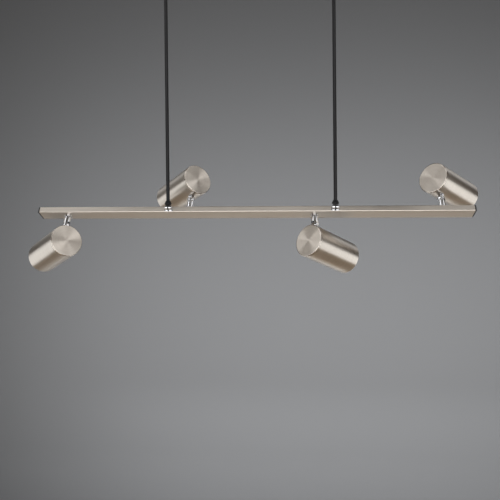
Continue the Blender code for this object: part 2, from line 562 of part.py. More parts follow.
# ---------------------------------------------------------------------------- the heads
def build_swivel(number, face_frame, pan_frame):
    """Base on the bar, post that pans on it, and the pin that the head tilts on."""
    pivot = HEAD_STANDOFF - HEAD_PIVOT_GAP
    name = "head_%d_" % number
    base_radius = SWIVEL_BASE_DIAMETER / 2.0
    stub_radius = SWIVEL_STUB_DIAMETER / 2.0
    bore_radius = SWIVEL_BORE / 2.0
    seat_radius = SWIVEL_SPIGOT_DIAMETER / 2.0 + SLIDE
    base_top = TOUCH + SWIVEL_BASE_HEIGHT
    stub_end = -BAR_WALL - STUB_REACH
    turned_piece(name + "swivel_base", [
        (seat_radius, base_top), (base_radius - SWIVEL_BASE_EDGE, base_top),
        (base_radius, base_top - SWIVEL_BASE_EDGE),
        (base_radius, TOUCH), (stub_radius, TOUCH), (stub_radius, stub_end),
        (bore_radius, stub_end), (bore_radius, -BAR_WALL), (seat_radius, -BAR_WALL)],
        "chrome", face_frame, turn=OUTWARD, closed=True)

    post_bottom = base_top + SLIDE
    fork_floor = pivot - LUG_RADIUS - SLIDE
    post_radius = POST_DIAMETER / 2.0
    spigot_radius = SWIVEL_SPIGOT_DIAMETER / 2.0
    tip = pivot + POST_TIP
    post = turned_piece(name + "post", [
        (0.0, tip), (post_radius - POST_TIP_EDGE, tip), (post_radius, tip - POST_TIP_CHAMFER),
        (post_radius, post_bottom + POST_FOOT_EDGE),
        (post_radius - POST_FOOT_EDGE, post_bottom), (spigot_radius, post_bottom),
        (spigot_radius, -BAR_WALL + SLIDE + TOUCH), (0.0, -BAR_WALL + SLIDE + TOUCH)],
        "chrome", pan_frame, turn=OUTWARD)
    slot = add_cutter(name + "slot_cut", box_mesh(name + "slot_cut", (
        LUG_THICKNESS + 2.0 * SLIDE, 2.0 * CUT_PAST, 2.0 * POST_DIAMETER)),
        pan_frame, (0.0, -fork_floor - CUT_PAST, 0.0))
    eye = add_cutter(name + "eye_cut", rod_mesh(
        name + "eye_cut", TILT_PIN_DIAMETER + 2.0 * FIT, -POST_DIAMETER, POST_DIAMETER, HOLE_SIDES),
        pan_frame, (0.0, -pivot, 0.0), ACROSS)
    flat_radius = post_radius - POST_FLAT_DEPTH
    flat_reach = 2.0 * (POST_TIP + POST_FLAT_BEHIND)
    for side in (-1, 1):
        flat = add_cutter(name + "flat_cut", box_mesh(name + "flat_cut", (
            TILT_PIN_HEAD_HEIGHT, flat_reach, 2.0 * POST_DIAMETER)), pan_frame,
            (side * (flat_radius + TILT_PIN_HEAD_HEIGHT / 2.0), -pivot, 0.0))
        boolean(post, flat)
    boolean(post, eye)
    boolean(post, slot)

    head_start = flat_radius + TOUCH
    tail = -head_start - TILT_PIN_END
    pin_radius = TILT_PIN_DIAMETER / 2.0
    head_radius = TILT_PIN_HEAD / 2.0
    turned_piece(name + "tilt_pin", [
        (0.0, head_start + TILT_PIN_HEAD_HEIGHT),
        (PIN_HEAD_FACE * head_radius, head_start + TILT_PIN_HEAD_HEIGHT),
        (head_radius, head_start + TILT_PIN_HEAD_HEIGHT / 2.0), (head_radius, head_start),
        (pin_radius, head_start), (pin_radius, tail), (0.0, tail)],
        "chrome", pan_frame, (0.0, -pivot, 0.0), ACROSS, SIDES)


def build_head(number, tilt_frame):
    """Shell, rear cap, lug, lampholder, lamp and lens; the frame is on the tilt pin."""
    name = "head_%d_" % number
    radius = HEAD_DIAMETER / 2.0
    inner = radius - HEAD_WALL
    axis = (0.0, -(HEAD_PIVOT_GAP + radius), 0.0)
    rear = HEAD_LUG_BACK
    mouth = rear - HEAD_LENGTH
    shell_top = rear - REAR_CAP_DISC - TOUCH
    spigot = inner - FIT

    turned_piece(name + "shell", [
        (radius, shell_top), (radius, mouth + MOUTH_BREAK), (radius - MOUTH_BREAK, mouth),
        (inner + MOUTH_BREAK, mouth), (inner, mouth + MOUTH_BREAK), (inner, shell_top)],
        "nickel", tilt_frame, axis, sides=SHELL_SIDES, closed=True)
    turned_piece(name + "rear_cap", [
        (0.0, rear), (radius - REAR_CAP_EDGE, rear), (radius, rear - REAR_CAP_EDGE),
        (radius, rear - REAR_CAP_DISC), (spigot, rear - REAR_CAP_DISC),
        (spigot, rear - REAR_CAP_DISC - REAR_CAP_SPIGOT),
        (spigot - REAR_CAP_WALL, rear - REAR_CAP_DISC - REAR_CAP_SPIGOT),
        (spigot - REAR_CAP_WALL, rear - REAR_CAP_DISC), (0.0, rear - REAR_CAP_DISC)],
        "nickel", tilt_frame, axis, sides=SHELL_SIDES)

    foot_end = HEAD_PIVOT_GAP + LUG_FOOT_DEPTH
    foot = turned_piece(name + "lug", [
        (0.0, foot_end), (LUG_FOOT_DIAMETER / 2.0, foot_end),
        (LUG_FOOT_DIAMETER / 2.0, HEAD_PIVOT_GAP - LUG_FOOT_HEIGHT),
        (0.0, HEAD_PIVOT_GAP - LUG_FOOT_HEIGHT)],
        "chrome", tilt_frame, turn=OUTWARD)
    blade = add_cutter(name + "lug_blade", box_mesh(name + "lug_blade", (
        LUG_THICKNESS, HEAD_PIVOT_GAP, 2.0 * LUG_RADIUS)), tilt_frame,
        (0.0, -HEAD_PIVOT_GAP / 2.0, 0.0))
    boss = add_cutter(name + "lug_boss", rod_mesh(
        name + "lug_boss", 2.0 * LUG_RADIUS, -LUG_THICKNESS / 2.0, LUG_THICKNESS / 2.0, SIDES),
        tilt_frame, turn=ACROSS)
    seat = add_cutter(name + "lug_seat", rod_mesh(
        name + "lug_seat", HEAD_DIAMETER + 2.0 * TOUCH, mouth, rear + CUT_PAST, SHELL_SIDES),
        tilt_frame, axis)
    eye = add_cutter(name + "lug_eye", rod_mesh(
        name + "lug_eye", TILT_PIN_DIAMETER + 2.0 * FIT, -POST_DIAMETER, POST_DIAMETER, HOLE_SIDES),
        tilt_frame, turn=ACROSS)
    boolean(foot, blade, "UNION")
    boolean(foot, boss, "UNION")
    boolean(foot, seat)
    boolean(foot, eye)

    holder_top = rear - REAR_CAP_DISC - REAR_CAP_SPIGOT - HOLDER_GAP
    holder_end = holder_top - HOLDER_LENGTH
    holder_radius = HOLDER_DIAMETER / 2.0
    bracket = inner - FIT
    turned_piece(name + "lampholder", [
        (0.0, holder_top + HOLDER_BRACKET), (bracket, holder_top + HOLDER_BRACKET),
        (bracket, holder_top),
        (holder_radius, holder_top), (holder_radius, holder_end), (0.0, holder_end)],
        "ceramic", tilt_frame, axis, sides=LAMP_SIDES)

    lamp_rear = holder_end - TOUCH
    lamp_front = lamp_rear - LAMP_LENGTH
    neck = LAMP_NECK / 2.0
    rim = LAMP_DIAMETER / 2.0
    bowl = rim - LAMP_RIM
    lens_seat = lamp_front + LENS_THICKNESS + TOUCH
    profile = [(0.0, lamp_rear), (neck, lamp_rear),
               (neck + LAMP_NECK_FLARE, lamp_rear - LAMP_NECK_SHARE * LAMP_LENGTH)]
    for reach, fall in LAMP_FLANK:
        profile.append((reach * rim, lamp_rear - fall * LAMP_LENGTH))
    profile.extend([(rim, lamp_front + LAMP_RIM_HEIGHT), (rim, lamp_front), (bowl, lamp_front),
                    (bowl, lens_seat), (bowl - LENS_LEDGE, lens_seat)])
    for reach, fall in LAMP_BOWL:
        profile.append((reach * rim, lamp_rear - fall * LAMP_LENGTH))
    turned_piece(name + "lamp_body", profile, "reflector", tilt_frame, axis, sides=LAMP_SIDES)
    turned_piece(name + "lamp_lens", [
        (0.0, lens_seat - TOUCH), (bowl - FIT, lens_seat - TOUCH), (bowl - FIT, lamp_front),
        (LENS_FLAT_SHARE * bowl, lamp_front - 0.75 * LENS_BULGE), (0.0, lamp_front - LENS_BULGE)],
        "glass", tilt_frame, axis, sides=LAMP_SIDES)


# --------------------------------------------------------------------------- the object
def build_all():
    """Build the whole fixture."""
    build_canopy()
    for side, word in ((-1, "left"), (1, "right")):
        top, bottom = build_stem(side, word)
    build_supply_lead(top, bottom)
    tilt = make_empty("bar_pivot", None, (0.0, 0.0, -PIN_DROP), (radians(BAR_TILT), 0.0, 0.0))
    axis_drop = -(BAR_HEIGHT / 2.0 + FORK_PIN_HEIGHT)
    bar_frame = make_empty("bar_axis", tilt, (0.0, 0.0, axis_drop))
    build_bar(bar_frame)
    for number, x, side, aim in head_positions():
        facing = 0.0 if side < 0 else pi
        face_frame = make_empty("head_%d_face" % number, bar_frame,
                                (x, side * BAR_THICKNESS / 2.0, 0.0), (0.0, 0.0, facing))
        pan = radians(aim) if side < 0 else -radians(aim)
        pan_frame = make_empty("head_%d_pan_axis" % number, face_frame, rotation=(0.0, pan, 0.0))
        pivot = HEAD_STANDOFF - HEAD_PIVOT_GAP
        tilt_frame = make_empty("head_%d_tilt_axis" % number, pan_frame, (0.0, -pivot, 0.0))
        build_swivel(number, face_frame, pan_frame)
        build_head(number, tilt_frame)


build_all()
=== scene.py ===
"""Finishes and fine shapes of a four-spot bar light that hangs from two rigid stems.

Every piece is made in its own small frame, with the axis of a turned piece on Z, and is then
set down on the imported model.  Sizes are metres.
"""
import json
from math import cos, pi, radians, sin, sqrt

import bmesh
import bpy
from mathutils import Matrix, Vector


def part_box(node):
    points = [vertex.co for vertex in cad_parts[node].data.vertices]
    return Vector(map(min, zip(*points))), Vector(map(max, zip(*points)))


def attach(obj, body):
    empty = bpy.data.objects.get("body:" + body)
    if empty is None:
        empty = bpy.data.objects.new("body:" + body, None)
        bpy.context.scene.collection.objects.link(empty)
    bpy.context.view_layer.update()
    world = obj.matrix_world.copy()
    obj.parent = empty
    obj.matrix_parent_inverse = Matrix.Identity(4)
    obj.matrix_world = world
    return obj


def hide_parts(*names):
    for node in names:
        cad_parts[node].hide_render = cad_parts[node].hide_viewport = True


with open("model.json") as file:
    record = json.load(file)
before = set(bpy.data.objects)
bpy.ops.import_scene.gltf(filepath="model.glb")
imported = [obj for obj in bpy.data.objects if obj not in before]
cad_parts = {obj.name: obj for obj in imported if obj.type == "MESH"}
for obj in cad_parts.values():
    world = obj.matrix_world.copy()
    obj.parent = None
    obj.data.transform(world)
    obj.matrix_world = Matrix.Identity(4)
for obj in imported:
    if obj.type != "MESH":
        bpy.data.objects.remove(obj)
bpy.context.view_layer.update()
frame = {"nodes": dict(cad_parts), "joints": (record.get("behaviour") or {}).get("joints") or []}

JOINTS = {joint["name"]: joint for joint in frame["joints"]}
HEADS = (1, 2, 3, 4)
CEILING_BODY = "canopy_and_stems"

# ---- sizes of the details
ROUND_SIDES = 96              # facets round a shade
SMALL_SIDES = 40              # facets round a small turned piece
SOFT_EDGE = 0.00025           # broken edge of a machined piece
ROUNDING_STEPS = 4
SMOOTH_ANGLE = 42.0           # faces that meet at less than this are shaded as one, in degrees
FINE_ANGLE = 30.0
NUT_ANGLE = 25.0

BAR_WALL = 0.0012
BAR_CORNER = 0.0019
BAR_END_EDGE = 0.0002
END_CAP_EDGE = 0.0007
END_CAP_FLOOR = 0.0018
END_PLUG_WALL = 0.0016
FIT_GAP = 0.0003
SWIVEL_HOLE = 0.0086
FORK_HOLE = 0.0058

CANOPY_WALL = 0.0012
CANOPY_CORNER = 0.0060
CANOPY_EDGE = 0.0028
PLATE_CORNER = 0.0040
STEM_HOLE = 0.0071
SCREW_HOLE = 0.0046
CEILING_SLOT = (0.012, 0.0046)
CEILING_SLOT_OFFSET = 0.060
CABLE_HOLE = 0.016
CABLE_HOLE_OFFSET = 0.030

DOME_SCREW_SHANK = 0.0020     # radius
DOME_SCREW_TURNS = 12
DOME_SCREW_SLOT = (0.0070, 0.0011, 0.0018)
SCREW_BRIM = 0.0004
WIRE_MOUTH = 0.0052
SCREW_POCKET = 0.0062
TERMINAL_PITCH = 0.3          # share of the block's length
CLAMP_SCREW_RADIUS = 0.0026
CLAMP_SCREW_TOP = 0.0010
CLAMP_SCREW_FACE = -0.0012
CLAMP_SCREW_DEPTH = 0.0035    # above the block's underside

STEM_BORE = 0.0042
STEM_TIP_EDGE = 0.0003
BARE_CORE = 0.0022
CORE_DIAMETER = 0.0010
CORE_OFFSET = 0.0007
THREAD_PITCH = 0.0008
THREAD_DEPTH = 0.00022
THREAD_TURNS = 11
CONE_TOP = 0.0082
CONE_LENGTH = 0.0080
CONE_HEM = 0.0098
CONE_WIDEST_HEIGHT = 0.0036   # heights above the cone's underside
CONE_ROUND_HEIGHT = 0.0018
CONE_SOCKET_HEIGHT = 0.0030
TONGUE_THICKNESS = 0.0018
TONGUE_WIDTH = 0.0072
FORK_EYE = 0.0036
FORK_PIN = 0.0030
FORK_PIN_HEAD = 0.0012

FORK_SLOT = 0.0026
FORK_CHEEK = 0.0042
FORK_CROWN = 0.0040
FORK_FOOT = 0.0014
FORK_FOOT_FRONT = 0.0170
FORK_FOOT_BACK = 0.0116
FORK_STUB = 0.0052

POST_FLAT_DEPTH = 0.0008
POST_FLAT_REACH = 0.0046
LUG_THICKNESS = 0.0046
LUG_RADIUS = 0.0058
LUG_SLIDE = 0.0004
TILT_EYE = 0.0038
TILT_PIN = 0.0032
TILT_PIN_HEAD = 0.0013
SWIVEL_BORE = 0.0036
SWIVEL_STUB = 0.0080
SWIVEL_SEAT = 0.0064
SWIVEL_SPIGOT = 0.0056

SHADE_WALL = 0.0012
SHADE_LIP = 0.0005
REAR_DISC = 0.0032
REAR_DISC_EDGE = 0.0020
REAR_SPIGOT_WALL = 0.0015
HOLDER_DIAMETER = 0.030
HOLDER_COLLAR = 0.006
HOLDER_STEP = 0.0012
VENT_DIAMETER = 0.0036
VENT_OFFSET = 0.021
BRACKET_THICKNESS = 0.0012
LAMP_NECK = 0.022
LAMP_RIM = 0.0016
LENS_LEDGE = 0.0012
FACETS_ROUND = 24


# ---- placing
def joint_point(name):
    """Where a joint sits in the model."""
    return Vector(JOINTS[name]["pos_m"])


def own_turn(x_axis, y_axis, z_axis):
    """Rotation whose columns are three unit axes."""
    return Matrix((x_axis, y_axis, z_axis)).transposed().to_4x4()


def measured(node, place):
    """Lowest and highest corner of a CAD piece, read in the given frame."""
    back = place.inverted()
    points = [back @ vertex.co for vertex in frame["nodes"][node].data.vertices]
    low = Vector([min(point[i] for point in points) for i in range(3)])
    high = Vector([max(point[i] for point in points) for i in range(3)])
    return low, high


def shift(x=0.0, y=0.0, z=0.0):
    """A move along the axes."""
    return Matrix.Translation((x, y, z))


def along_x():
    """Turns a piece's Z to the frame's X."""
    return Matrix.Rotation(pi / 2.0, 4, "Y")


def outward():
    """Turns a piece's Z to the frame's -Y, away from the bar's face."""
    return Matrix.Rotation(pi / 2.0, 4, "X")


def bar_frame():
    """Frame on the bar's centre: X along it, Z through its narrow faces."""
    out = Vector(JOINTS["head_1_pan"]["axis"]).normalized()
    along = Vector((1.0, 0.0, 0.0))
    turn = own_turn(along, -out, along.cross(-out))
    at_pins = Matrix.Translation(JOINTS["bar_tilt"]["pos_m"]) @ turn
    low, high = measured("bar_tube", at_pins)
    return at_pins, at_pins @ Matrix.Translation((low + high) / 2.0)


def head_frames(number):
    """Frames on a head's pan point and on its tilt pin; -Y is away from the bar, -Z is the aim."""
    pan, tilt = JOINTS["head_%d_pan" % number], JOINTS["head_%d_tilt" % number]
    out = Vector(pan["axis"]).normalized()
    aim = out.cross(Vector(tilt["axis"]).normalized()).normalized()
    turn = own_turn(out.cross(aim), -out, -aim)
    return Matrix.Translation(pan["pos_m"]) @ turn, Matrix.Translation(tilt["pos_m"]) @ turn


AT_PINS, ON_BAR = bar_frame()


# ---- shape helpers
def link(name, mesh):
    """Put a mesh in the scene as an object."""
    piece = bpy.data.objects.new(name, mesh)
    bpy.context.scene.collection.objects.link(piece)
    return piece


def from_bmesh(name, work):
    """Close a bmesh into a linked object with its faces pointing out."""
    bmesh.ops.recalc_face_normals(work, faces=work.faces)
    mesh = bpy.data.meshes.new(name)
    work.to_mesh(mesh)
    work.free()
    return link(name, mesh)


def softened(corners, edge=SOFT_EDGE, closed=False):
    """Round the corners of a profile; a corner is (radius, height) or (radius, height, its own edge)."""
    count = len(corners)
    points = []
    for i, corner in enumerate(corners):
        here = Vector(corner[:2])
        size = corner[2] if len(corner) > 2 else edge
        at_end = not closed and i in (0, count - 1)
        if at_end or size == 0.0:
            points.append(tuple(here))
            continue
        before = Vector(corners[i - 1][:2]) - here
        after = Vector(corners[(i + 1) % count][:2]) - here
        reach = min(size, 0.45 * before.length, 0.45 * after.length)
        start = here + before.normalized() * reach
        end = here + after.normalized() * reach
        for step in range(ROUNDING_STEPS + 1):
            t = step / ROUNDING_STEPS
            point = start * (1 - t) ** 2 + here * 2 * t * (1 - t) + end * t * t
            points.append(tuple(point))
    return points


def turned(name, points, sides=SMALL_SIDES, closed=False):
    """Spin a profile of (radius, height) points about Z."""
    work = bmesh.new()
    rail = [work.verts.new((radius, 0.0, height)) for radius, height in points]
    edges = [work.edges.new(pair) for pair in zip(rail, rail[1:])]
    if closed:
        edges.append(work.edges.new((rail[-1], rail[0])))
    bmesh.ops.spin(work, geom=rail + edges, cent=(0, 0, 0), axis=(0, 0, 1), angle=2 * pi,
                   steps=sides, use_merge=True)
    bmesh.ops.remove_doubles(work, verts=work.verts, dist=1e-6)
    return from_bmesh(name, work)


def rod(name, diameter, low, high, sides=SMALL_SIDES):
    """A plain closed cylinder on Z; only used to cut or to join."""
    return turned(name, [(0.0, low), (diameter / 2, low), (diameter / 2, high), (0.0, high)], sides)


def block(name, size, centre=(0.0, 0.0, 0.0)):
    """A plain box; only used to cut or to join."""
    work = bmesh.new()
    bmesh.ops.create_cube(work, size=1.0, matrix=Matrix.Translation(centre) @ Matrix.Diagonal((*size, 1.0)))
    return from_bmesh(name, work)


def rounded_ring(width, height, corner, steps=6):
    """Points round a rectangle with round corners, centred on the origin."""
    points = []
    corners = ((1, 1, 0.0), (-1, 1, 0.5), (-1, -1, 1.0), (1, -1, 1.5))
    for x_side, y_side, start in corners:
        centre = (x_side * (width / 2 - corner), y_side * (height / 2 - corner))
        for step in range(steps + 1):
            angle = pi * (start + 0.5 * step / steps)
            points.append((centre[0] + corner * cos(angle), centre[1] + corner * sin(angle)))
    return points


def lofted(name, rings, ends="closed"):
    """Skin a stack of rings with equal counts; ends are closed, or joined to each other."""
    work = bmesh.new()
    rows = [[work.verts.new(point) for point in ring] for ring in rings]
    pairs = list(zip(rows, rows[1:]))
    if ends == "joined":
        pairs.append((rows[-1], rows[0]))
    for low, high in pairs:
        for i in range(len(low)):
            j = (i + 1) % len(low)
            work.faces.new((low[i], low[j], high[j], high[i]))
    if ends == "closed":
        work.faces.new(rows[0])
        work.faces.new(rows[-1])
    return from_bmesh(name, work)


def settle(piece):
    """Fix a piece's modifiers into its mesh."""
    bpy.context.view_layer.update()
    graph = bpy.context.evaluated_depsgraph_get()
    mesh = bpy.data.meshes.new_from_object(piece.evaluated_get(graph))
    piece.modifiers.clear()
    piece.data = mesh
    return piece


def worked(piece, tools, operation="DIFFERENCE"):
    """Cut a piece with tools, or join them to it; the tools are used up."""
    for tool in tools:
        step = piece.modifiers.new(tool.name, "BOOLEAN")
        step.operation = operation
        step.solver = "EXACT"
        step.object = tool
    settle(piece)
    for tool in tools:
        bpy.data.objects.remove(tool)
    return piece


def moved(piece, turn):
    """Turn or shift a piece's mesh in its own frame."""
    piece.data.transform(turn)
    return piece


def broken_edges(piece, width=SOFT_EDGE, angle=32.0, steps=2):
    """Round off a milled piece's sharp edges."""
    edge = piece.modifiers.new("broken_edge", "BEVEL")
    edge.width = width
    edge.segments = steps
    edge.limit_method = "ANGLE"
    edge.angle_limit = radians(angle)
    edge.use_clamp_overlap = True
    return settle(piece)


def smoothed(piece, angle):
    """Shade round faces smooth and keep flat faces flat."""
    piece.data.shade_smooth()
    piece.data.set_sharp_from_angle(angle=radians(angle))
    even = piece.modifiers.new("even_shading", "WEIGHTED_NORMAL")
    even.keep_sharp = True
    even.weight = 100
    return settle(piece)


def set_down(piece, name, place, body, node, slot, *finishes, angle=SMOOTH_ANGLE):
    """Smooth and name a piece, give it its finishes, place it on the model and hide the CAD piece it
    replaces.
    """
    smoothed(piece, angle)
    piece.name = name
    piece.matrix_world = place
    for finish in finishes:
        if finish.name not in piece.data.materials:
            piece.data.materials.append(finish)
    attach(piece, body)
    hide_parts(node)


# ---- material helpers
def add_node(tree, kind, inputs=None, **settings):
    """Add a node; an input is a plain value or the socket that feeds it."""
    made = tree.nodes.new(kind)
    for key, value in settings.items():
        setattr(made, key, value)
    for key, value in (inputs or {}).items():
        if isinstance(value, bpy.types.NodeSocket):
            tree.links.new(value, made.inputs[key])
        else:
            made.inputs[key].default_value = value
    return made


def maths(tree, operation, first, second=None):
    """One step of arithmetic, returned as its output socket."""
    inputs = {0: first} if second is None else {0: first, 1: second}
    return add_node(tree, "ShaderNodeMath", inputs, operation=operation).outputs[0]


def spread(tree, value, low, high, to_low, to_high):
    """Map one range of values to another."""
    inputs = {"Value": value, "From Min": low, "From Max": high, "To Min": to_low, "To Max": to_high}
    return add_node(tree, "ShaderNodeMapRange", inputs, clamp=True).outputs[0]


def blended(tree, factor, first, second):
    """Mix two colours."""
    mix = tree.nodes.new("ShaderNodeMix")
    mix.data_type = "RGBA"
    for socket, value in ((mix.inputs[0], factor), (mix.inputs[6], first), (mix.inputs[7], second)):
        if isinstance(value, bpy.types.NodeSocket):
            tree.links.new(value, socket)
        else:
            socket.default_value = value
    return mix.outputs[2]


def new_group(name, inputs, outputs):
    """An empty shader node group with named sockets; returns it with its two end nodes."""
    tree = bpy.data.node_groups.new(name, "ShaderNodeTree")
    for label, kind, default in inputs:
        socket = tree.interface.new_socket(name=label, in_out="INPUT", socket_type=kind)
        if default is not None:
            socket.default_value = default
    for label, kind in outputs:
        tree.interface.new_socket(name=label, in_out="OUTPUT", socket_type=kind)
    return tree, tree.nodes.new("NodeGroupInput"), tree.nodes.new("NodeGroupOutput")


def grain_lines(tree, stretched):
    """Fine and coarse brush lines, read from coordinates stretched along the brushing."""
    fine = add_node(tree, "ShaderNodeTexNoise", {"Vector": stretched, "Scale": 1.0, "Detail": 3.0,
                                                 "Roughness": 0.62})
    wide = add_node(tree, "ShaderNodeVectorMath", {0: stretched, 1: (0.45, 0.16, 0.16)},
                    operation="MULTIPLY")
    coarse = add_node(tree, "ShaderNodeTexNoise", {"Vector": wide.outputs[0], "Scale": 1.0,
                                                   "Detail": 2.0, "Roughness": 0.5})
    both = maths(tree, "MULTIPLY_ADD", fine.outputs[0], 0.5)
    tree.links.new(maths(tree, "MULTIPLY", coarse.outputs[0], 0.5), both.node.inputs[2])
    return both, coarse.outputs[0]


def new_grain_group(name):
    """Group with the sockets of a brushed grain; also splits its coordinates."""
    tree, given, result = new_group(
        name, (("Vector", "NodeSocketVector", None), ("Lines", "NodeSocketFloat", 4000.0),
               ("Breaks", "NodeSocketFloat", 4.0)),
        (("Grain", "NodeSocketFloat"), ("Bands", "NodeSocketFloat")))
    apart = add_node(tree, "ShaderNodeSeparateXYZ", {0: given.outputs["Vector"]})
    return tree, given.outputs, result.inputs, apart.outputs


def finish_grain(tree, stretched, result):
    """Read the brush lines and send them out of the group."""
    grain, bands = grain_lines(tree, stretched)
    tree.links.new(grain, result["Grain"])
    tree.links.new(bands, result["Bands"])
    return tree


def build_round_grain():
    """Brush lines that run round Z: hoops on a tube, rings on a disc."""
    tree, given, result, (x, y, z) = new_grain_group("round_grain")
    square = maths(tree, "ADD", maths(tree, "MULTIPLY", x, x), maths(tree, "MULTIPLY", y, y))
    radius = maths(tree, "MAXIMUM", maths(tree, "SQRT", square), 0.0004)
    round_x = maths(tree, "MULTIPLY", maths(tree, "DIVIDE", x, radius), given["Breaks"])
    round_y = maths(tree, "MULTIPLY", maths(tree, "DIVIDE", y, radius), given["Breaks"])
    out = maths(tree, "MULTIPLY", maths(tree, "ADD", z, radius), given["Lines"])
    far = maths(tree, "ADD", out, round_y)
    together = add_node(tree, "ShaderNodeCombineXYZ", {0: round_x, 1: out, 2: far})
    return finish_grain(tree, together.outputs[0], result)


def build_long_grain():
    """Brush lines that run along X."""
    tree, given, result, (x, y, z) = new_grain_group("long_grain")
    together = add_node(tree, "ShaderNodeCombineXYZ", {
        0: maths(tree, "MULTIPLY", x, given["Breaks"]),
        1: maths(tree, "MULTIPLY", y, given["Lines"]),
        2: maths(tree, "MULTIPLY", z, given["Lines"])})
    return finish_grain(tree, together.outputs[0], result)


def build_handling():
    """Soft patches where a surface has been wiped and touched."""
    tree, given, result = new_group(
        "handling", (("Vector", "NodeSocketVector", None), ("Size", "NodeSocketFloat", 30.0)),
        (("Patches", "NodeSocketFloat"), ("Specks", "NodeSocketFloat")))
    cloud = add_node(tree, "ShaderNodeTexNoise", {"Vector": given.outputs["Vector"], "Detail": 3.0,
                                                  "Scale": given.outputs["Size"], "Roughness": 0.55,
                                                  "Distortion": 0.6})
    often = maths(tree, "MULTIPLY", given.outputs["Size"], 40.0)
    dots = add_node(tree, "ShaderNodeTexNoise", {"Vector": given.outputs["Vector"], "Detail": 1.0,
                                                 "Scale": often})
    tree.links.new(cloud.outputs[0], result.inputs["Patches"])
    tree.links.new(spread(tree, dots.outputs[0], 0.66, 0.78, 0.0, 1.0), result.inputs["Specks"])
    return tree


ROUND_GRAIN = build_round_grain()
LONG_GRAIN = build_long_grain()
HANDLING = build_handling()


def new_finish(name):
    """A material with its Principled shader and its own coordinates."""
    material = bpy.data.materials.new(name)
    material.use_nodes = True
    tree = material.node_tree
    shader = tree.nodes["Principled BSDF"]
    place = add_node(tree, "ShaderNodeTexCoord").outputs["Object"]
    return material, tree, shader, place


def feed(shader, key, socket):
    """Link a socket to one of a shader's inputs."""
    shader.id_data.links.new(socket, shader.inputs[key])


def set_numbers(shader, numbers):
    """Set a shader's own uniform values."""
    for key, value in numbers.items():
        shader.inputs[key].default_value = value


def use_group(tree, group, **inputs):
    """Place a node group with its own values."""
    made = tree.nodes.new("ShaderNodeGroup")
    made.node_tree = group
    for key, value in inputs.items():
        if isinstance(value, bpy.types.NodeSocket):
            tree.links.new(value, made.inputs[key])
        else:
            made.inputs[key].default_value = value
    return made.outputs


def raise_surface(tree, shader, height, strength, distance):
    """Feed a height into the shader's normal."""
    bump = add_node(tree, "ShaderNodeBump", {"Height": height, "Strength": strength,
                                             "Distance": distance})
    feed(shader, "Normal", bump.outputs[0])


def brushed_nickel(group, name, lines, breaks, roughness, stretch, relief):
    """Warm brushed nickel whose brush lines come from the given grain."""
    material, tree, shader, place = new_finish(name)
    grain = use_group(tree, group, Vector=place, Lines=lines, Breaks=breaks)
    touch = use_group(tree, HANDLING, Vector=place, Size=26.0)
    tone = spread(tree, grain["Bands"], 0.2, 0.8, 0.25, 0.75)
    metal = blended(tree, tone, NICKEL_DEEP, NICKEL_PALE)
    fine = spread(tree, grain["Grain"], 0.3, 0.7, 0.0, 0.25)
    metal = blended(tree, fine, metal, NICKEL_PALE)
    feed(shader, "Base Color", metal)
    worn = spread(tree, touch["Patches"], 0.3, 0.7, -0.02, 0.03)
    rough = spread(tree, grain["Grain"], 0.3, 0.7, roughness - 0.03, roughness + 0.03)
    feed(shader, "Roughness", maths(tree, "ADD", rough, worn))
    set_numbers(shader, {"Metallic": 1.0, "Anisotropic": stretch, "Anisotropic Rotation": 0.25})
    raise_surface(tree, shader, grain["Grain"], relief, 0.0001)
    return material, tree, shader


def brushed_round(*values):
    """Nickel brushed on a lathe."""
    material, tree, shader = brushed_nickel(ROUND_GRAIN, *values)
    across = add_node(tree, "ShaderNodeTangent", direction_type="RADIAL", axis="Z")
    feed(shader, "Tangent", across.outputs[0])
    return material


def brushed_long(*values):
    """Nickel brushed along X."""
    material, tree, shader = brushed_nickel(LONG_GRAIN, *values)
    along = add_node(tree, "ShaderNodeVectorTransform", {0: (1.0, 0.0, 0.0)}, vector_type="VECTOR",
                     convert_from="OBJECT", convert_to="WORLD")
    feed(shader, "Tangent", along.outputs[0])
    return material


def drifting(name, size, deep, pale, rough, metal=0.0, fleck=None, relief=None):
    """A finish whose tint, roughness and relief drift with the handling patches."""
    material, tree, shader, place = new_finish(name)
    touch = use_group(tree, HANDLING, Vector=place, Size=size)
    tint = blended(tree, touch["Patches"], deep, pale)
    if fleck:
        tint = blended(tree, maths(tree, "MULTIPLY", touch["Specks"], fleck[0]), tint, fleck[1])
    feed(shader, "Base Color", tint)
    feed(shader, "Roughness", spread(tree, touch["Patches"], 0.3, 0.7, *rough))
    shader.inputs["Metallic"].default_value = metal
    if relief:
        raise_surface(tree, shader, touch["Patches"], *relief)
    return material, tree, shader, place


def satin_black():
    """Powder-coated steel: black with a fine skin and a few dust specks."""
    material, tree, shader, place = drifting("satin_black_coat", 60.0, BLACK_DEEP, BLACK_PALE,
                                             (0.30, 0.40), fleck=(0.25, DUST))
    shader.inputs["Specular IOR Level"].default_value = 0.25
    skin = add_node(tree, "ShaderNodeTexNoise", {"Vector": place, "Scale": 2400.0, "Detail": 2.0})
    raise_surface(tree, shader, skin.outputs[0], 0.12, 0.0002)
    return material


def moulded_black():
    """Spark-eroded black plastic of the end caps."""
    material, tree, shader, place = drifting("moulded_black_plastic", 90.0, BLACK_DEEP, BLACK_PALE,
                                             (0.38, 0.52))
    pits = add_node(tree, "ShaderNodeTexVoronoi", {"Vector": place, "Scale": 3200.0})
    raise_surface(tree, shader, pits.outputs["Distance"], 0.25, 0.0002)
    return material


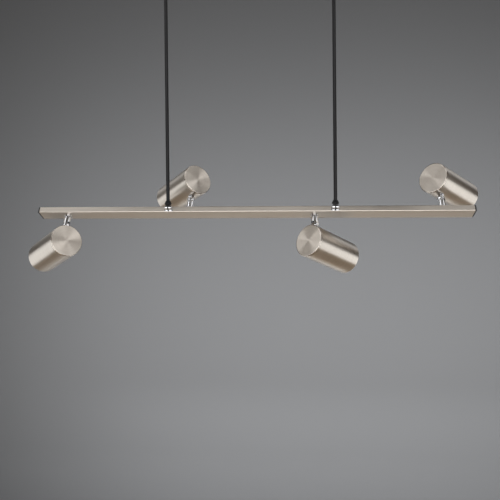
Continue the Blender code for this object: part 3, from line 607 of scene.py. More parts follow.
def zinc_plate():
    """Zinc-plated sheet steel with its pale crystal patches."""
    material, tree, shader, place = new_finish("zinc_plated_steel")
    patches = add_node(tree, "ShaderNodeTexVoronoi", {"Vector": place, "Scale": 240.0})
    touch = use_group(tree, HANDLING, Vector=place, Size=40.0)
    tone = spread(tree, patches.outputs["Distance"], 0.0, 0.6, 0.0, 1.0)
    tint = blended(tree, tone, ZINC_DEEP, ZINC_PALE)
    feed(shader, "Base Color", tint)
    feed(shader, "Roughness", spread(tree, touch["Patches"], 0.3, 0.7, 0.34, 0.50))
    shader.inputs["Metallic"].default_value = 1.0
    raise_surface(tree, shader, patches.outputs["Distance"], 0.08, 0.0003)
    return material


def lamp_glass():
    """Front glass with a pebbled pattern."""
    material, tree, shader, place = new_finish("pebbled_lamp_glass")
    pebbles = add_node(tree, "ShaderNodeTexVoronoi", {"Vector": place, "Scale": 420.0})
    pebbled = spread(tree, pebbles.outputs["Distance"], 0.0, 0.7, 0.0, 1.0)
    feed(shader, "Base Color", blended(tree, pebbled, GLASS_DEEP, GLASS_PALE))
    set_numbers(shader, {"Roughness": 0.06, "Transmission Weight": 0.92, "IOR": 1.47})
    raise_surface(tree, shader, pebbles.outputs["Distance"], 0.5, 0.0004)
    return material


NICKEL_DEEP = (0.62, 0.56, 0.495, 1.0)
NICKEL_PALE = (0.79, 0.735, 0.67, 1.0)
CHROME_DEEP = (0.74, 0.75, 0.78, 1.0)
CHROME_PALE = (0.88, 0.88, 0.89, 1.0)
BLACK_DEEP = (0.007, 0.007, 0.008, 1.0)
BLACK_PALE = (0.016, 0.016, 0.018, 1.0)
DUST = (0.10, 0.10, 0.10, 1.0)
ZINC_DEEP = (0.46, 0.48, 0.50, 1.0)
ZINC_PALE = (0.66, 0.67, 0.68, 1.0)
CERAMIC_DEEP = (0.74, 0.72, 0.67, 1.0)
CERAMIC_PALE = (0.84, 0.83, 0.79, 1.0)
CERAMIC_FLECK = (0.45, 0.43, 0.40, 1.0)
FILM_DEEP = (0.74, 0.76, 0.80, 1.0)
FILM_PALE = (0.90, 0.90, 0.89, 1.0)
GLASS_DEEP = (0.93, 0.96, 0.97, 1.0)
GLASS_PALE = (0.99, 0.99, 0.98, 1.0)
SHEATH_DEEP = (0.20, 0.21, 0.22, 1.0)
SHEATH_PALE = (0.30, 0.31, 0.33, 1.0)
BRASS_DEEP = (0.50, 0.36, 0.15, 1.0)
BRASS_PALE = (0.72, 0.55, 0.27, 1.0)

# name, brush lines and their breaks per metre, roughness, stretch of the shine, relief
BAR_NICKEL = brushed_long("brushed_nickel_bar", 2600.0, 9.0, 0.36, 0.75, 0.03)
SHADE_NICKEL = brushed_round("brushed_nickel_shade", 2600.0, 3.0, 0.31, 0.35, 0.0035)
DISC_NICKEL = brushed_round("brushed_nickel_disc", 2200.0, 2.2, 0.40, 0.92, 0.05)
EDGE_NICKEL = brushed_round("turned_nickel_edge", 3000.0, 1.5, 0.13, 0.2, 0.01)
CANOPY_NICKEL = brushed_long("brushed_nickel_canopy", 2600.0, 9.0, 0.34, 0.6, 0.03)
CHROME = drifting("chrome_plating", 180.0, CHROME_DEEP, CHROME_PALE, (0.045, 0.10), 1.0,
                  relief=(0.04, 0.0002))[0]
BLACK_COAT = satin_black()
BLACK_PLASTIC = moulded_black()
ZINC = zinc_plate()
CERAMIC = drifting("white_steatite", 120.0, CERAMIC_DEEP, CERAMIC_PALE, (0.42, 0.6),
                   fleck=(0.3, CERAMIC_FLECK), relief=(0.2, 0.0003))[0]
REFLECTOR = drifting("lamp_reflector_film", 90.0, FILM_DEEP, FILM_PALE, (0.08, 0.16), 1.0,
                     relief=(0.05, 0.0003))[0]
GLASS = lamp_glass()
SHEATH = drifting("grey_cable_sheath", 150.0, SHEATH_DEEP, SHEATH_PALE, (0.42, 0.58),
                  relief=(0.1, 0.0002))[0]
BRASS = drifting("terminal_brass", 300.0, BRASS_DEEP, BRASS_PALE, (0.22, 0.4), 1.0)[0]


# ---- ceiling end
CEILING = Matrix.Identity(4)


def make_canopy():
    """Folded nickel canopy: deep-drawn corners, soft lower edge, open to the ceiling."""
    low, high = measured("canopy_shell", CEILING)
    length, width = high.x - low.x, high.y - low.y

    def ring(z, inset, corner):
        return [(x, y, z) for x, y in rounded_ring(length - 2 * inset, width - 2 * inset, corner, 8)]

    rings = [ring(high.z, 0.0, CANOPY_CORNER)]
    for step in range(7):
        angle = 0.5 * pi * step / 6
        inset = CANOPY_EDGE * (1 - cos(angle))
        rings.append(ring(low.z + CANOPY_EDGE * (1 - sin(angle)), inset, CANOPY_CORNER - 0.6 * inset))
    inner = [ring(low.z + CANOPY_WALL, CANOPY_EDGE, CANOPY_CORNER - CANOPY_EDGE * 0.6),
             ring(low.z + CANOPY_EDGE, CANOPY_WALL, CANOPY_CORNER - CANOPY_WALL),
             ring(high.z, CANOPY_WALL, CANOPY_CORNER - CANOPY_WALL)]
    work = bmesh.new()
    rows = [[work.verts.new(point) for point in row] for row in rings + inner]
    last = len(rings) - 1
    for i, (one, other) in enumerate(zip(rows, rows[1:] + rows[:1])):
        if i == last:
            continue
        for j in range(len(one)):
            k = (j + 1) % len(one)
            work.faces.new((one[j], one[k], other[k], other[j]))
    work.faces.new(rows[last])
    work.faces.new(rows[last + 1])
    shell = from_bmesh("ceiling_canopy", work)
    holes = []
    for word in ("left", "right"):
        for node, hole in (("stem_" + word, STEM_HOLE), ("canopy_screw_" + word, SCREW_HOLE)):
            start, end = measured(node, CEILING)
            middle = (start.x + end.x) / 2
            holes.append(moved(rod("hole", hole, low.z - 0.001, low.z + 0.003, 32),
                               shift(middle)))
    worked(shell, holes)
    set_down(shell, "ceiling_canopy", CEILING, CEILING_BODY, "canopy_shell", "brushed_nickel",
             CANOPY_NICKEL)


def make_mounting_plate():
    """Zinc plate with two ceiling slots, a cable hole and the threads for the canopy."""
    low, high = measured("mounting_plate", CEILING)
    outline = rounded_ring(high.x - low.x, high.y - low.y, PLATE_CORNER)
    plate = lofted("ceiling_plate", [[(x, y, z) for x, y in outline] for z in (low.z, high.z)])
    tools = []
    for side, word in ((-1, "left"), (1, "right")):
        slot = rounded_ring(*CEILING_SLOT, 0.49 * CEILING_SLOT[1])
        x_slot = side * CEILING_SLOT_OFFSET
        tools.append(lofted("slot", [[(x + x_slot, y, z) for x, y in slot] for z in (-0.01, 0.01)]))
        start, end = measured("canopy_screw_" + word, CEILING)
        tools.append(moved(rod("thread", SCREW_HOLE, -0.01, 0.01, 32),
                           shift((start.x + end.x) / 2)))
    tools.append(moved(rod("cable", CABLE_HOLE, -0.01, 0.01, 48),
                       shift(CABLE_HOLE_OFFSET)))
    worked(plate, tools)
    broken_edges(plate, 0.0002)
    set_down(plate, "ceiling_plate", CEILING, CEILING_BODY, "mounting_plate", "zinc_steel", ZINC)


def make_canopy_screws():
    """Two chrome screws with domed heads and a driver slot."""
    for word in ("left", "right"):
        low, high = measured("canopy_screw_" + word, CEILING)
        middle = (low + high) / 2
        head, shank = (high.x - low.x) / 2, DOME_SCREW_SHANK
        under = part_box("canopy_shell")[0].z - FIT_GAP
        brim = under - SCREW_BRIM
        dome = [(head * cos(a), brim - (brim - low.z) * sin(a))
                for a in [0.5 * pi * i / 8 for i in range(8)]]
        profile = [(0.0, high.z), (shank, high.z)]
        for turn in range(DOME_SCREW_TURNS):
            z = high.z - SCREW_BRIM - turn * THREAD_PITCH
            profile += [(shank, z), (shank - THREAD_DEPTH, z - THREAD_PITCH / 2)]
        plain = high.z - SCREW_BRIM - DOME_SCREW_TURNS * THREAD_PITCH
        profile += [(shank, plain), (shank, under), (head, under)]
        screw = turned("canopy_screw", profile + dome + [(0.0, low.z)])
        slot = block("driver_slot", DOME_SCREW_SLOT, (0.0, 0.0, low.z))
        worked(screw, [slot])
        set_down(screw, "dome_screw_" + word, shift(middle.x), CEILING_BODY,
                 "canopy_screw_" + word, "polished_chrome", CHROME, angle=FINE_ANGLE)


def make_terminal_block():
    """Three-way ceramic block with wire mouths and brass clamp screws below."""
    low, high = measured("terminal_block", CEILING)
    size, centre = high - low, (low + high) / 2
    outline = rounded_ring(size.x, size.y, 0.0020)
    body = lofted("terminal_body", [[(x, y, z) for x, y in outline] for z in (-size.z / 2, size.z / 2)])
    tools = []
    for row in (-1, 0, 1):
        x = TERMINAL_PITCH * row * size.x
        mouth = rod("mouth", WIRE_MOUTH, -size.y, size.y, 24)
        tools.append(moved(mouth, shift(x, z=0.001) @ Matrix.Rotation(pi / 2, 4, "X")))
        tools.append(moved(rod("pocket", SCREW_POCKET, -size.z, 0.0, 24), shift(x)))
    for row in (-0.5, 0.5):
        tools.append(block("groove", (0.0016, size.y * 1.2, 0.003),
                           (TERMINAL_PITCH * row * size.x, 0.0, -size.z / 2)))
    worked(body, tools)
    broken_edges(body, 0.0003)
    set_down(body, "terminal_body", Matrix.Translation(centre), CEILING_BODY, "terminal_block",
             "white_ceramic", CERAMIC)
    for row in (-1, 0, 1):
        head = turned("clamp_screw", softened([
            (0.0, CLAMP_SCREW_TOP), (CLAMP_SCREW_RADIUS, CLAMP_SCREW_TOP),
            (CLAMP_SCREW_RADIUS, CLAMP_SCREW_FACE), (0.0, CLAMP_SCREW_FACE)]), 32)
        worked(head, [block("slot", (0.0060, 0.0008, 0.0012), (0.0, 0.0, CLAMP_SCREW_FACE))])
        smoothed(head, FINE_ANGLE)
        head.name = "clamp_screw_%d" % (row + 2)
        place = shift(centre.x + TERMINAL_PITCH * row * size.x, z=low.z + CLAMP_SCREW_DEPTH)
        head.matrix_world = place
        head.data.materials.append(BRASS)
        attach(head, CEILING_BODY)


def make_stems():
    """Black stems with threaded tops, cones with tongues, collars and lock nuts."""
    for word in ("left", "right"):
        low, high = measured("stem_" + word, CEILING)
        outer, bore = (high.x - low.x) / 2, STEM_BORE / 2
        place = shift((low.x + high.x) / 2)
        corners = [(bore, high.z), (outer - THREAD_DEPTH, high.z)]
        for turn in range(THREAD_TURNS):
            z = high.z - STEM_TIP_EDGE - turn * THREAD_PITCH
            corners += [(outer - THREAD_DEPTH, z), (outer, z - THREAD_PITCH / 2)]
        corners += [(outer, low.z + STEM_TIP_EDGE), (outer - STEM_TIP_EDGE, low.z), (bore, low.z)]
        stem = turned("stem", corners, 48, closed=True)
        set_down(stem, "hanging_stem_" + word, place, CEILING_BODY, "stem_" + word,
                 "black_metal", BLACK_COAT)
        make_stem_cone(word, place, outer)
        make_stem_collar(word, place, outer)
        make_stem_nut(word, place, outer)


def make_stem_cone(word, place, stem_radius):
    """Cone that ends a stem, with the tongue that the fork pin holds."""
    low, high = measured("stem_cone_" + word, place)
    pin = joint_point("bar_tilt").z
    under = high.z - CONE_LENGTH
    socket = stem_radius + FIT_GAP
    base = (high.x - low.x) / 2
    floor = under + CONE_SOCKET_HEIGHT
    cone = turned("stem_cone", softened([
        (0.0, floor), (socket, floor), (socket, high.z), (CONE_TOP / 2, high.z, 0.0004),
        (base, under + CONE_WIDEST_HEIGHT, 0.0014), (base, under + CONE_ROUND_HEIGHT, 0.0009),
        (CONE_HEM / 2, under, 0.0006), (0.0, under)]), 64)
    tongue = block("tongue", (TONGUE_THICKNESS, TONGUE_WIDTH, under - pin + 0.001),
                   (0.0, 0.0, (under + 0.001 + pin) / 2))
    tip = moved(rod("tip", TONGUE_WIDTH, -TONGUE_THICKNESS / 2, TONGUE_THICKNESS / 2),
                shift(z=pin) @ along_x())
    eye = moved(rod("eye", FORK_EYE, -0.01, 0.01), shift(z=pin) @ along_x())
    worked(cone, [tongue, tip], "UNION")
    worked(cone, [eye])
    set_down(cone, "stem_end_cone_" + word, place, CEILING_BODY, "stem_cone_" + word,
             "black_metal", BLACK_COAT)


def make_stem_collar(word, place, stem_radius):
    """Stepped collar under the canopy."""
    low, high = measured("stem_collar_" + word, place)
    radius, hole = (high.x - low.x) / 2, stem_radius + FIT_GAP
    step = low.z + 0.3 * (high.z - low.z)
    collar = turned("collar", softened([
        (hole, high.z), (radius, high.z), (radius, step, 0.0008), (0.7 * radius, low.z, 0.0006),
        (hole, low.z)], closed=True), 64, closed=True)
    set_down(collar, "canopy_collar_" + word, place, CEILING_BODY, "stem_collar_" + word,
             "black_metal", BLACK_COAT)


def make_stem_nut(word, place, stem_radius):
    """Hexagon lock nut with turned-down corners."""
    low, high = measured("stem_nut_" + word, place)
    middle = (low.z + high.z) / 2
    across = min(high.x - low.x, high.y - low.y)
    corner = across / 2 / cos(pi / 6)
    nut = turned("nut", [(0.0, high.z), (corner, high.z), (corner, low.z), (0.0, low.z)], 6)
    if high.y - low.y > high.x - low.x:
        moved(nut, Matrix.Rotation(pi / 6, 4, "Z"))
    bevel = turned("corner_turning", [(0.0, high.z), (0.97 * across / 2, high.z), (corner, high.z - 0.0006),
                                      (corner, low.z + 0.0006), (0.97 * across / 2, low.z),
                                      (0.0, low.z)], 64)
    worked(nut, [bevel], "INTERSECT")
    worked(nut, [rod("thread", 2 * (stem_radius + FIT_GAP), middle - 0.01, middle + 0.01)])
    set_down(nut, "lock_nut_" + word, place, CEILING_BODY, "stem_nut_" + word, "zinc_steel", ZINC,
             angle=NUT_ANGLE)


def make_supply_lead():
    """Two-core lead inside the left stem, with bared core ends."""
    low, high = measured("supply_lead", CEILING)
    radius = (high.x - low.x) / 2
    place = shift((low.x + high.x) / 2)
    bare = high.z - BARE_CORE
    lead = turned("lead", softened([(0.0, bare), (radius, bare, 0.0004), (radius, low.z, 0.0004),
                                    (0.0, low.z)]), 24)
    cores = [moved(rod("core", CORE_DIAMETER, bare - 0.001, high.z, 16), shift(x))
             for x in (-CORE_OFFSET, CORE_OFFSET)]
    worked(lead, cores, "UNION")
    set_down(lead, "supply_lead_cable", place, CEILING_BODY, "supply_lead", "lead_sheath", SHEATH)


# ---- the bar
def section(x, size, inset, corner):
    """Outline across the bar at one place along it; size is thickness and height."""
    outline = rounded_ring(size[0] - 2 * inset, size[1] - 2 * inset, corner, 6)
    return [(x, y, z) for y, z in outline]


def make_bar():
    """Drawn nickel tube with its fork and swivel holes."""
    low, high = measured("bar_tube", ON_BAR)
    length, thick, tall = high - low
    end, size = length / 2, (thick, tall)
    inner = BAR_CORNER - 0.75 * BAR_WALL
    tube = lofted("bar", [section(x, size, inset, corner) for x, inset, corner in (
        (-end, BAR_END_EDGE, BAR_CORNER), (-end + BAR_END_EDGE, 0.0, BAR_CORNER),
        (end - BAR_END_EDGE, 0.0, BAR_CORNER), (end, BAR_END_EDGE, BAR_CORNER),
        (end, BAR_WALL, inner), (-end, BAR_WALL, inner))], "joined")
    holes = []
    for word in ("left", "right"):
        start, stop = measured("fork_" + word, ON_BAR)
        holes.append(moved(rod("fork_hole", FORK_HOLE, tall / 2 - 2 * BAR_WALL, tall / 2 + BAR_WALL),
                           shift((start.x + stop.x) / 2)))
    for number in HEADS:
        spot = ON_BAR.inverted() @ joint_point("head_%d_pan" % number)
        hole = rod("swivel_hole", SWIVEL_HOLE, -2 * BAR_WALL, BAR_WALL)
        facing = outward() if spot.y < 0.0 else Matrix.Rotation(-pi / 2, 4, "X")
        holes.append(moved(hole, Matrix.Translation(spot) @ facing))
    worked(tube, holes)
    set_down(tube, "nickel_bar", ON_BAR, "bar", "bar_tube", "brushed_nickel", BAR_NICKEL)


def make_end_caps():
    """Black moulded end caps: soft-edged plate and a hollow plug."""
    for side, word in ((-1, "left"), (1, "right")):
        low, high = measured("end_cap_" + word, ON_BAR)
        tube_high = measured("bar_tube", ON_BAR)[1]
        thick, tall = high.y - low.y, high.z - low.z
        face = high.x if side > 0 else low.x
        seat = side * (tube_high.x + FIT_GAP)
        tip = low.x if side > 0 else high.x
        plug = BAR_WALL + FIT_GAP
        pocket = plug + END_PLUG_WALL
        rows = [(face - side * END_CAP_FLOOR, pocket, 0.0006), (tip, pocket, 0.0006),
                (tip, plug + 0.0003, 0.0006), (tip + side * 0.0006, plug, 0.0008),
                (seat, plug, 0.0008), (seat, 0.0, BAR_CORNER)]
        for angle in (0.0, 0.125 * pi, 0.25 * pi, 0.375 * pi, 0.5 * pi):
            rows.append((face - side * END_CAP_EDGE * (1 - sin(angle)),
                         END_CAP_EDGE * (1 - cos(angle)), BAR_CORNER))
        rings = [section(x, (thick, tall), inset, corner) for x, inset, corner in rows]
        cap = lofted("end_cap", rings)
        set_down(cap, "moulded_end_" + word, ON_BAR, "bar", "end_cap_" + word,
                 "black_plastic", BLACK_PLASTIC)


def make_forks():
    """Chrome forks on the bar's narrow face, each with its cross pin."""
    pin_height = (ON_BAR.inverted() @ joint_point("bar_tilt")).z
    for word in ("left", "right"):
        low, high = measured("fork_" + word, ON_BAR)
        tube_high = measured("bar_tube", ON_BAR)[1]
        middle = (low.x + high.x) / 2
        face = tube_high.z + FIT_GAP
        half_depth = (high.y - low.y) / 2
        outer = 2 * FORK_CHEEK + FORK_SLOT
        foot_rings = []
        for z, inset in ((face, 0.0), (face + FORK_FOOT - 0.0003, 0.0), (face + FORK_FOOT, 0.0003)):
            front, back = FORK_FOOT_FRONT / 2 - inset, FORK_FOOT_BACK / 2 - inset
            depth = half_depth - inset
            foot_rings.append([(-front, -depth, z), (front, -depth, z),
                               (back, depth, z), (-back, depth, z)])
        fork = lofted("fork", foot_rings)
        depth = 2 * FORK_CROWN
        cheek = block("cheeks", (outer, depth, pin_height - face), (0.0, 0.0, (face + pin_height) / 2))
        crown = moved(rod("crown", depth, -outer / 2, outer / 2, 64),
                      shift(z=pin_height) @ along_x())
        stub = rod("stub", FORK_STUB, low.z, face + FORK_FOOT / 2)
        slot = block("slot", (FORK_SLOT, 4 * depth, 0.02), (0.0, 0.0, face + 0.7 * FORK_FOOT + 0.01))
        eye = moved(rod("eye", FORK_EYE, -outer, outer),
                    shift(z=pin_height) @ along_x())
        worked(fork, [cheek, crown, stub], "UNION")
        worked(fork, [slot, eye])
        broken_edges(fork, 0.0003)
        place = ON_BAR @ shift(middle)
        set_down(fork, "bar_fork_" + word, place, "bar", "fork_" + word, "polished_chrome", CHROME)

        at_pin = place @ shift(z=pin_height) @ along_x()
        make_cross_pin("cross_pin_" + word, "fork_pin_" + word, at_pin, "bar", FORK_PIN / 2, FORK_PIN_HEAD)


def make_cross_pin(name, node, place, body, shank, head_height):
    """Pin with a domed, slotted head and a riveted tail."""
    low, high = measured(node, place)
    head = (high.x - low.x) / 2
    under = high.z - head_height
    pin = turned(name, softened([
        (0.0, high.z), (0.82 * head, high.z, 0.0005), (head, under + 0.0004, 0.0003), (head, under, 0.0001),
        (shank, under, 0.0), (shank, low.z, 0.0004), (0.0, low.z)]), 48)
    worked(pin, [block("driver_slot", (0.0007, 3 * head, 0.0010), (0.0, 0.0, high.z))])
    set_down(pin, name, place, body, node, "polished_chrome", CHROME, angle=FINE_ANGLE)


# ---- the heads
def make_swivel(number, at_face):
    """Chrome base, post and tilt pin between the bar and a shade."""
    name = "head_%d_" % number
    swivel = "head_%d_swivel" % number
    place = at_face @ outward()
    low, high = measured(name + "swivel_base", place)
    base = (high.x - low.x) / 2
    ring = turned("base", softened([
        (SWIVEL_SEAT / 2, high.z), (base, high.z, 0.0007), (base, FIT_GAP, 0.0002),
        (SWIVEL_STUB / 2, FIT_GAP, 0.0), (SWIVEL_STUB / 2, low.z), (SWIVEL_BORE / 2, low.z),
        (SWIVEL_BORE / 2, -BAR_WALL), (SWIVEL_SEAT / 2, -BAR_WALL)], closed=True), 64, closed=True)
    set_down(ring, "swivel_ring_%d" % number, place, "bar", name + "swivel_base",
             "polished_chrome", CHROME)

    low, high = measured(name + "post", place)
    pivot = (at_face.inverted() @ joint_point("head_%d_tilt" % number)).y * -1.0
    post_radius = max(high.x, high.y, -low.x, -low.y)
    start = measured(name + "swivel_base", place)[1].z + LUG_SLIDE
    fork_floor = pivot - LUG_RADIUS - LUG_SLIDE
    post = turned("post", softened([
        (0.0, high.z), (0.72 * post_radius, high.z, 0.0008), (post_radius, pivot + 0.0022, 0.0008),
        (post_radius, start, 0.0006), (SWIVEL_SPIGOT / 2, start, 0.0),
        (SWIVEL_SPIGOT / 2, low.z), (0.0, low.z)]), 72)
    flats = []
    for side in (-1, 1):
        depth = 0.0020
        centre = side * (post_radius - POST_FLAT_DEPTH + depth / 2)
        flats.append(block("flat", (depth, 4 * post_radius, 2 * POST_FLAT_REACH + 0.0046),
                           (centre, 0.0, pivot)))
    slot = block("slot", (LUG_THICKNESS + 2 * LUG_SLIDE, 4 * post_radius, 0.02),
                 (0.0, 0.0, fork_floor + 0.01))
    eye = moved(rod("eye", TILT_EYE, -0.02, 0.02), shift(z=pivot) @ along_x())
    worked(post, flats + [slot, eye])
    broken_edges(post, 0.0002)
    set_down(post, "swivel_post_%d" % number, place, swivel, name + "post", "polished_chrome", CHROME)

    at_pin = place @ shift(z=pivot) @ along_x()
    make_cross_pin("tilt_pin_%d" % number, name + "tilt_pin", at_pin, swivel, TILT_PIN / 2, TILT_PIN_HEAD)


def make_lug(number, at_tilt, on_axis, shade_radius):
    """Chrome lug screwed to the shade, with the blade that turns in the post."""
    node = "head_%d_lug" % number
    low, high = measured(node, at_tilt)
    foot = max(high.x, -low.x)
    gap = (on_axis.inverted() @ at_tilt.translation).y - shade_radius
    lug = turned("lug", softened([(0.0, gap + 0.003), (foot, gap + 0.003), (foot, gap - 0.0004, 0.0004),
                                  (0.0, gap - 0.0004)]), 64)
    moved(lug, outward())
    blade = block("blade", (LUG_THICKNESS, gap, 2 * LUG_RADIUS), (0.0, -gap / 2, 0.0))
    boss = moved(rod("boss", 2 * LUG_RADIUS, -LUG_THICKNESS / 2, LUG_THICKNESS / 2, 64), along_x())
    seat = moved(rod("seat", 2 * shade_radius + 2 * FIT_GAP, -0.1, 0.1, ROUND_SIDES),
                 at_tilt.inverted() @ on_axis)
    eye = moved(rod("eye", TILT_EYE, -0.02, 0.02), along_x())
    worked(lug, [blade, boss], "UNION")
    worked(lug, [seat, eye])
    broken_edges(lug, 0.0002)
    set_down(lug, "shade_lug_%d" % number, at_tilt, "head_%d" % number, node, "polished_chrome", CHROME)


def make_shade(number, on_axis):
    """Spun nickel shade with a rolled mouth, and its turned rear disc."""
    name, body = "head_%d_" % number, "head_%d" % number
    low, high = measured(name + "shell", on_axis)
    radius = (high.y - low.y) / 2
    inner = radius - SHADE_WALL
    shade = turned("shade", softened([
        (radius, high.z, 0.0002), (radius, low.z, SHADE_LIP), (inner, low.z, SHADE_LIP),
        (inner, high.z, 0.0002)], closed=True), ROUND_SIDES, closed=True)
    set_down(shade, "spun_shade_%d" % number, on_axis, body, name + "shell",
             "brushed_nickel", SHADE_NICKEL)

    low, high = measured(name + "rear_cap", on_axis)
    spigot = inner - FIT_GAP
    step = high.z - REAR_DISC
    disc = turned("disc", softened([
        (0.0, high.z), (radius, high.z, REAR_DISC_EDGE), (radius, step, 0.0002), (spigot, step, 0.0),
        (spigot, low.z, 0.0003), (spigot - REAR_SPIGOT_WALL, low.z, 0.0003),
        (spigot - REAR_SPIGOT_WALL, step, 0.0), (0.0, step)]), ROUND_SIDES)
    set_down(disc, "rear_disc_%d" % number, on_axis, body, name + "rear_cap",
             "brushed_nickel", DISC_NICKEL, EDGE_NICKEL)
    for face in disc.data.polygons:
        if face.center.xy.length > radius - REAR_DISC_EDGE:
            face.material_index = 1
    return radius


def make_lamp(number, on_axis):
    """Ceramic holder, faceted reflector lamp and its front glass."""
    name, body = "head_%d_" % number, "head_%d" % number
    low, high = measured(name + "lampholder", on_axis)
    bracket, holder = (high.y - low.y) / 2, HOLDER_DIAMETER / 2
    plate = high.z - BRACKET_THICKNESS
    socket = turned("holder", softened([
        (0.0, high.z), (bracket, high.z, 0.0003), (bracket, plate, 0.0003), (holder, plate, 0.0004),
        (holder, plate - HOLDER_COLLAR, 0.0006),
        (holder - HOLDER_STEP, plate - HOLDER_COLLAR - 0.0015, 0.0006),
        (holder - HOLDER_STEP, low.z, 0.0008), (0.0, low.z)]), 64)
    tools = [moved(rod("vent", VENT_DIAMETER, low.z - 0.01, high.z + 0.01, 24),
                   shift(x)) for x in (VENT_OFFSET, -VENT_OFFSET)]
    worked(socket, tools)
    set_down(socket, "lamp_holder_%d" % number, on_axis, body, name + "lampholder",
             "white_ceramic", CERAMIC)

    low, high = measured(name + "lamp_body", on_axis)
    rim, length = (high.y - low.y) / 2, high.z - low.z
    glass_low, glass_high = measured(name + "lamp_lens", on_axis)
    bowl = rim - LAMP_RIM
    seat = glass_high.z + FIT_GAP
    outside = [(0.0, high.z), (LAMP_NECK / 2, high.z, 0.0005),
               (LAMP_NECK / 2 + 0.001, high.z - 0.30 * length, 0.002),
               (0.70 * rim, high.z - 0.55 * length, 0.003),
               (0.92 * rim, high.z - 0.80 * length, 0.003),
               (rim, low.z + 0.004, 0.0008), (rim, low.z, 0.0004), (bowl, low.z, 0.0003), (bowl, seat, 0.0),
               (bowl - LENS_LEDGE, seat, 0.0)]
    depth = 0.46 * length
    top = bowl - LENS_LEDGE
    inside = [(top * sqrt(1 - t), seat + (high.z - depth - seat) * t)
              for t in (0.14, 0.28, 0.42, 0.56, 0.70, 0.84)]
    inside.append((0.0, high.z - depth))
    profile = softened(outside) + inside
    lamp = turned("lamp", profile, 2 * FACETS_ROUND)
    set_down(lamp, "reflector_lamp_%d" % number, on_axis, body, name + "lamp_body",
             "lamp_reflector", REFLECTOR)
    for face in lamp.data.polygons:
        centre = face.center
        facing_in = face.normal.x * centre.x + face.normal.y * centre.y < -1e-9
        if facing_in and centre.z > seat:
            face.use_smooth = False

    edge = (glass_high.y - glass_low.y) / 2
    face = glass_low.z + 0.0008
    lens = turned("lens", softened([
        (0.0, glass_high.z), (edge, glass_high.z, 0.0003), (edge, face, 0.0005),
        (0.6 * edge, glass_low.z + 0.0002, 0.004), (0.0, glass_low.z)]), 64)
    set_down(lens, "front_glass_%d" % number, on_axis, body, name + "lamp_lens", "lamp_glass", GLASS)


def make_heads():
    """All four heads, from the bar's face to the front glass."""
    for number in HEADS:
        at_face, at_tilt = head_frames(number)
        low, high = measured("head_%d_shell" % number, at_tilt)
        on_axis = at_tilt @ shift((low.x + high.x) / 2, y=(low.y + high.y) / 2)
        make_swivel(number, at_face)
        radius = make_shade(number, on_axis)
        make_lug(number, at_tilt, on_axis, radius)
        make_lamp(number, on_axis)


# ---- studio and light
FLOOR_LEVEL = -2.40
WALL_PLACE = 2.30
WALL_HEIGHT = 4.8
STUDIO_WIDTH = 9.0
SWEEP_START = 1.10            # front edge of the paper that curves up into the wall
SWEEP_RADIUS = 0.35
GLOW_TO_POWER = pi
FLOOR_TINT = (0.42, 0.335, 0.25, 1.0)
FLOOR_PATCH = (0.45, 0.36, 0.27, 1.0)
PAPER_TINT = (0.78, 0.77, 0.75, 1.0)
PAPER_PATCH = (0.80, 0.79, 0.77, 1.0)
WALL_TINT = (0.135, 0.138, 0.143, 1.0)
WALL_PATCH = (0.140, 0.143, 0.148, 1.0)
HEADS_CENTRE = (0.0, 0.03, -0.46)


def plain_finish(name, tint, patch, rough):
    """Matt studio surface with a faint unevenness."""
    material, tree, shader, place = new_finish(name)
    touch = use_group(tree, HANDLING, Vector=place, Size=0.8)
    feed(shader, "Base Color", blended(tree, touch["Patches"], tint, patch))
    set_numbers(shader, {"Roughness": rough, "Specular IOR Level": 0.1})
    return material


def swept(name, outline):
    """Extrude a side view of (depth, height) points over the studio's width."""
    half = STUDIO_WIDTH / 2
    work = bmesh.new()
    rows = [[work.verts.new((x, y, z)) for x in (-half, half)] for y, z in outline]
    for one, other in zip(rows, rows[1:]):
        work.faces.new((one[0], one[1], other[1], other[0]))
    piece = from_bmesh(name, work)
    piece.data.shade_smooth()
    return piece


def make_studio():
    """Floor in front, and white paper that runs back from it and curves up into the grey wall."""
    floor = block("studio_floor", (14.0, 6.0, 0.02), (0.0, SWEEP_START - 3.0, FLOOR_LEVEL - 0.01))
    floor.data.materials.append(plain_finish("pale_floor", FLOOR_TINT, FLOOR_PATCH, 0.8))
    bend = [(WALL_PLACE - SWEEP_RADIUS * (1 - sin(a)), FLOOR_LEVEL + SWEEP_RADIUS * (1 - cos(a)))
            for a in [0.5 * pi * i / 12 for i in range(13)]]
    paper = swept("studio_paper", [(SWEEP_START, FLOOR_LEVEL)] + bend[:4])
    paper.data.materials.append(plain_finish("white_paper", PAPER_TINT, PAPER_PATCH, 0.9))
    wall = swept("studio_wall", bend[3:] + [(WALL_PLACE, FLOOR_LEVEL + WALL_HEIGHT)])
    wall.data.materials.append(plain_finish("grey_wall", WALL_TINT, WALL_PATCH, 0.9))


def soft_light(name, place, target, size, glow, tint=(1.0, 1.0, 1.0)):
    """Soft box of a given size (metres) and surface brightness, turned to a target."""
    lamp = bpy.data.lights.new(name, "AREA")
    lamp.shape = "RECTANGLE"
    lamp.size, lamp.size_y = size
    lamp.energy = glow * size[0] * size[1] * GLOW_TO_POWER
    lamp.color = tint
    light = bpy.data.objects.new(name, lamp)
    bpy.context.scene.collection.objects.link(light)
    light.location = place
    light.rotation_euler = (Vector(target) - Vector(place)).to_track_quat("-Z", "Y").to_euler()
    return light


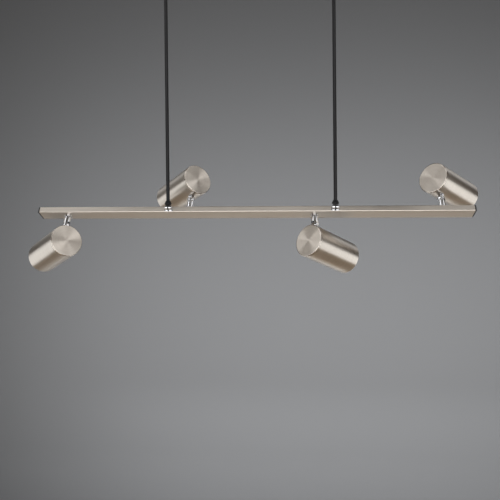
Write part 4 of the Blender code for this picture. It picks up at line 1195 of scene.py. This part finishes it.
def make_lights():
    """Soft boxes low on both sides, in front and above, and two that light wall and paper."""
    soft_light("side_left", (-3.0, 0.35, -1.40), HEADS_CENTRE, (2.0, 1.9), 1.05, COOL)
    soft_light("side_right", (3.0, -0.10, -1.45), HEADS_CENTRE, (1.8, 2.0), 1.25, COOL)
    soft_light("front_left", (-2.5, -0.40, 0.60), HEADS_CENTRE, (1.2, 1.2), 1.5)
    soft_light("front_right", (2.3, -1.04, 0.69), HEADS_CENTRE, (1.2, 1.2), 1.25)
    soft_light("upper_left", (-1.51, -0.26, 1.36), HEADS_CENTRE, (1.2, 1.4), 1.3)
    soft_light("upper_right", (1.51, -0.26, 1.36), HEADS_CENTRE, (1.2, 1.4), 1.1)
    soft_light("rear_left", (-1.75, 1.45, 0.30), HEADS_CENTRE, (0.9, 0.9), 0.45)
    soft_light("rear_right", (1.75, 1.45, 0.30), HEADS_CENTRE, (0.9, 0.9), 0.50)
    soft_light("front_tall", (0.0, -2.4, -0.45), (0.0, 0.0, -0.45), (3.2, 2.9), 1.75)
    soft_light("top", (-0.5, -0.35, 2.0), HEADS_CENTRE, (2.6, 0.8), 0.55)
    wash = soft_light("wall_wash", (0.35, 0.40, -1.25), (0.35, WALL_PLACE, -1.25), (3.8, 2.0), 1.85)
    wash.data.spread = radians(104.0)
    soft_light("paper_light", (0.25, 1.75, -1.65), (0.25, 1.75, FLOOR_LEVEL), (2.6, 0.5), 1.40)
    world = bpy.data.worlds.new("studio_air")
    world.use_nodes = True
    background = world.node_tree.nodes["Background"]
    background.inputs["Color"].default_value = (1.0, 0.84, 0.68, 1.0)
    background.inputs["Strength"].default_value = 0.06
    bpy.context.scene.world = world


COOL = (0.97, 0.99, 1.0)
CAMERA_PLACE = (0.0797, -1.0586, -0.3749)
CAMERA_TURN = 4.364           # degrees to the left of straight ahead
CAMERA_DIP = -0.721
CAMERA_ROLL = -0.578
CAMERA_LENS = 41.15
CAMERA_SHIFT = -0.150


def make_camera():
    """Camera at about the bar's height, looking level past it."""
    data = bpy.data.cameras.new("view")
    data.lens = CAMERA_LENS
    data.shift_y = CAMERA_SHIFT
    data.clip_start = 0.01
    camera = bpy.data.objects.new("view", data)
    bpy.context.scene.collection.objects.link(camera)
    camera.matrix_world = (Matrix.Translation(CAMERA_PLACE)
                           @ Matrix.Rotation(radians(CAMERA_TURN), 4, "Z")
                           @ Matrix.Rotation(radians(90.0 + CAMERA_DIP), 4, "X")
                           @ Matrix.Rotation(radians(CAMERA_ROLL), 4, "Z"))
    bpy.context.scene.camera = camera


make_canopy()
make_mounting_plate()
make_canopy_screws()
make_terminal_block()
make_stems()
make_supply_lead()
make_bar()
make_end_caps()
make_forks()
make_heads()
frame["nodes"]["bar_wire"].data.materials.clear()
frame["nodes"]["bar_wire"].data.materials.append(SHEATH)
make_studio()
make_lights()
make_camera()
bpy.context.scene.view_settings.view_transform = "Standard"
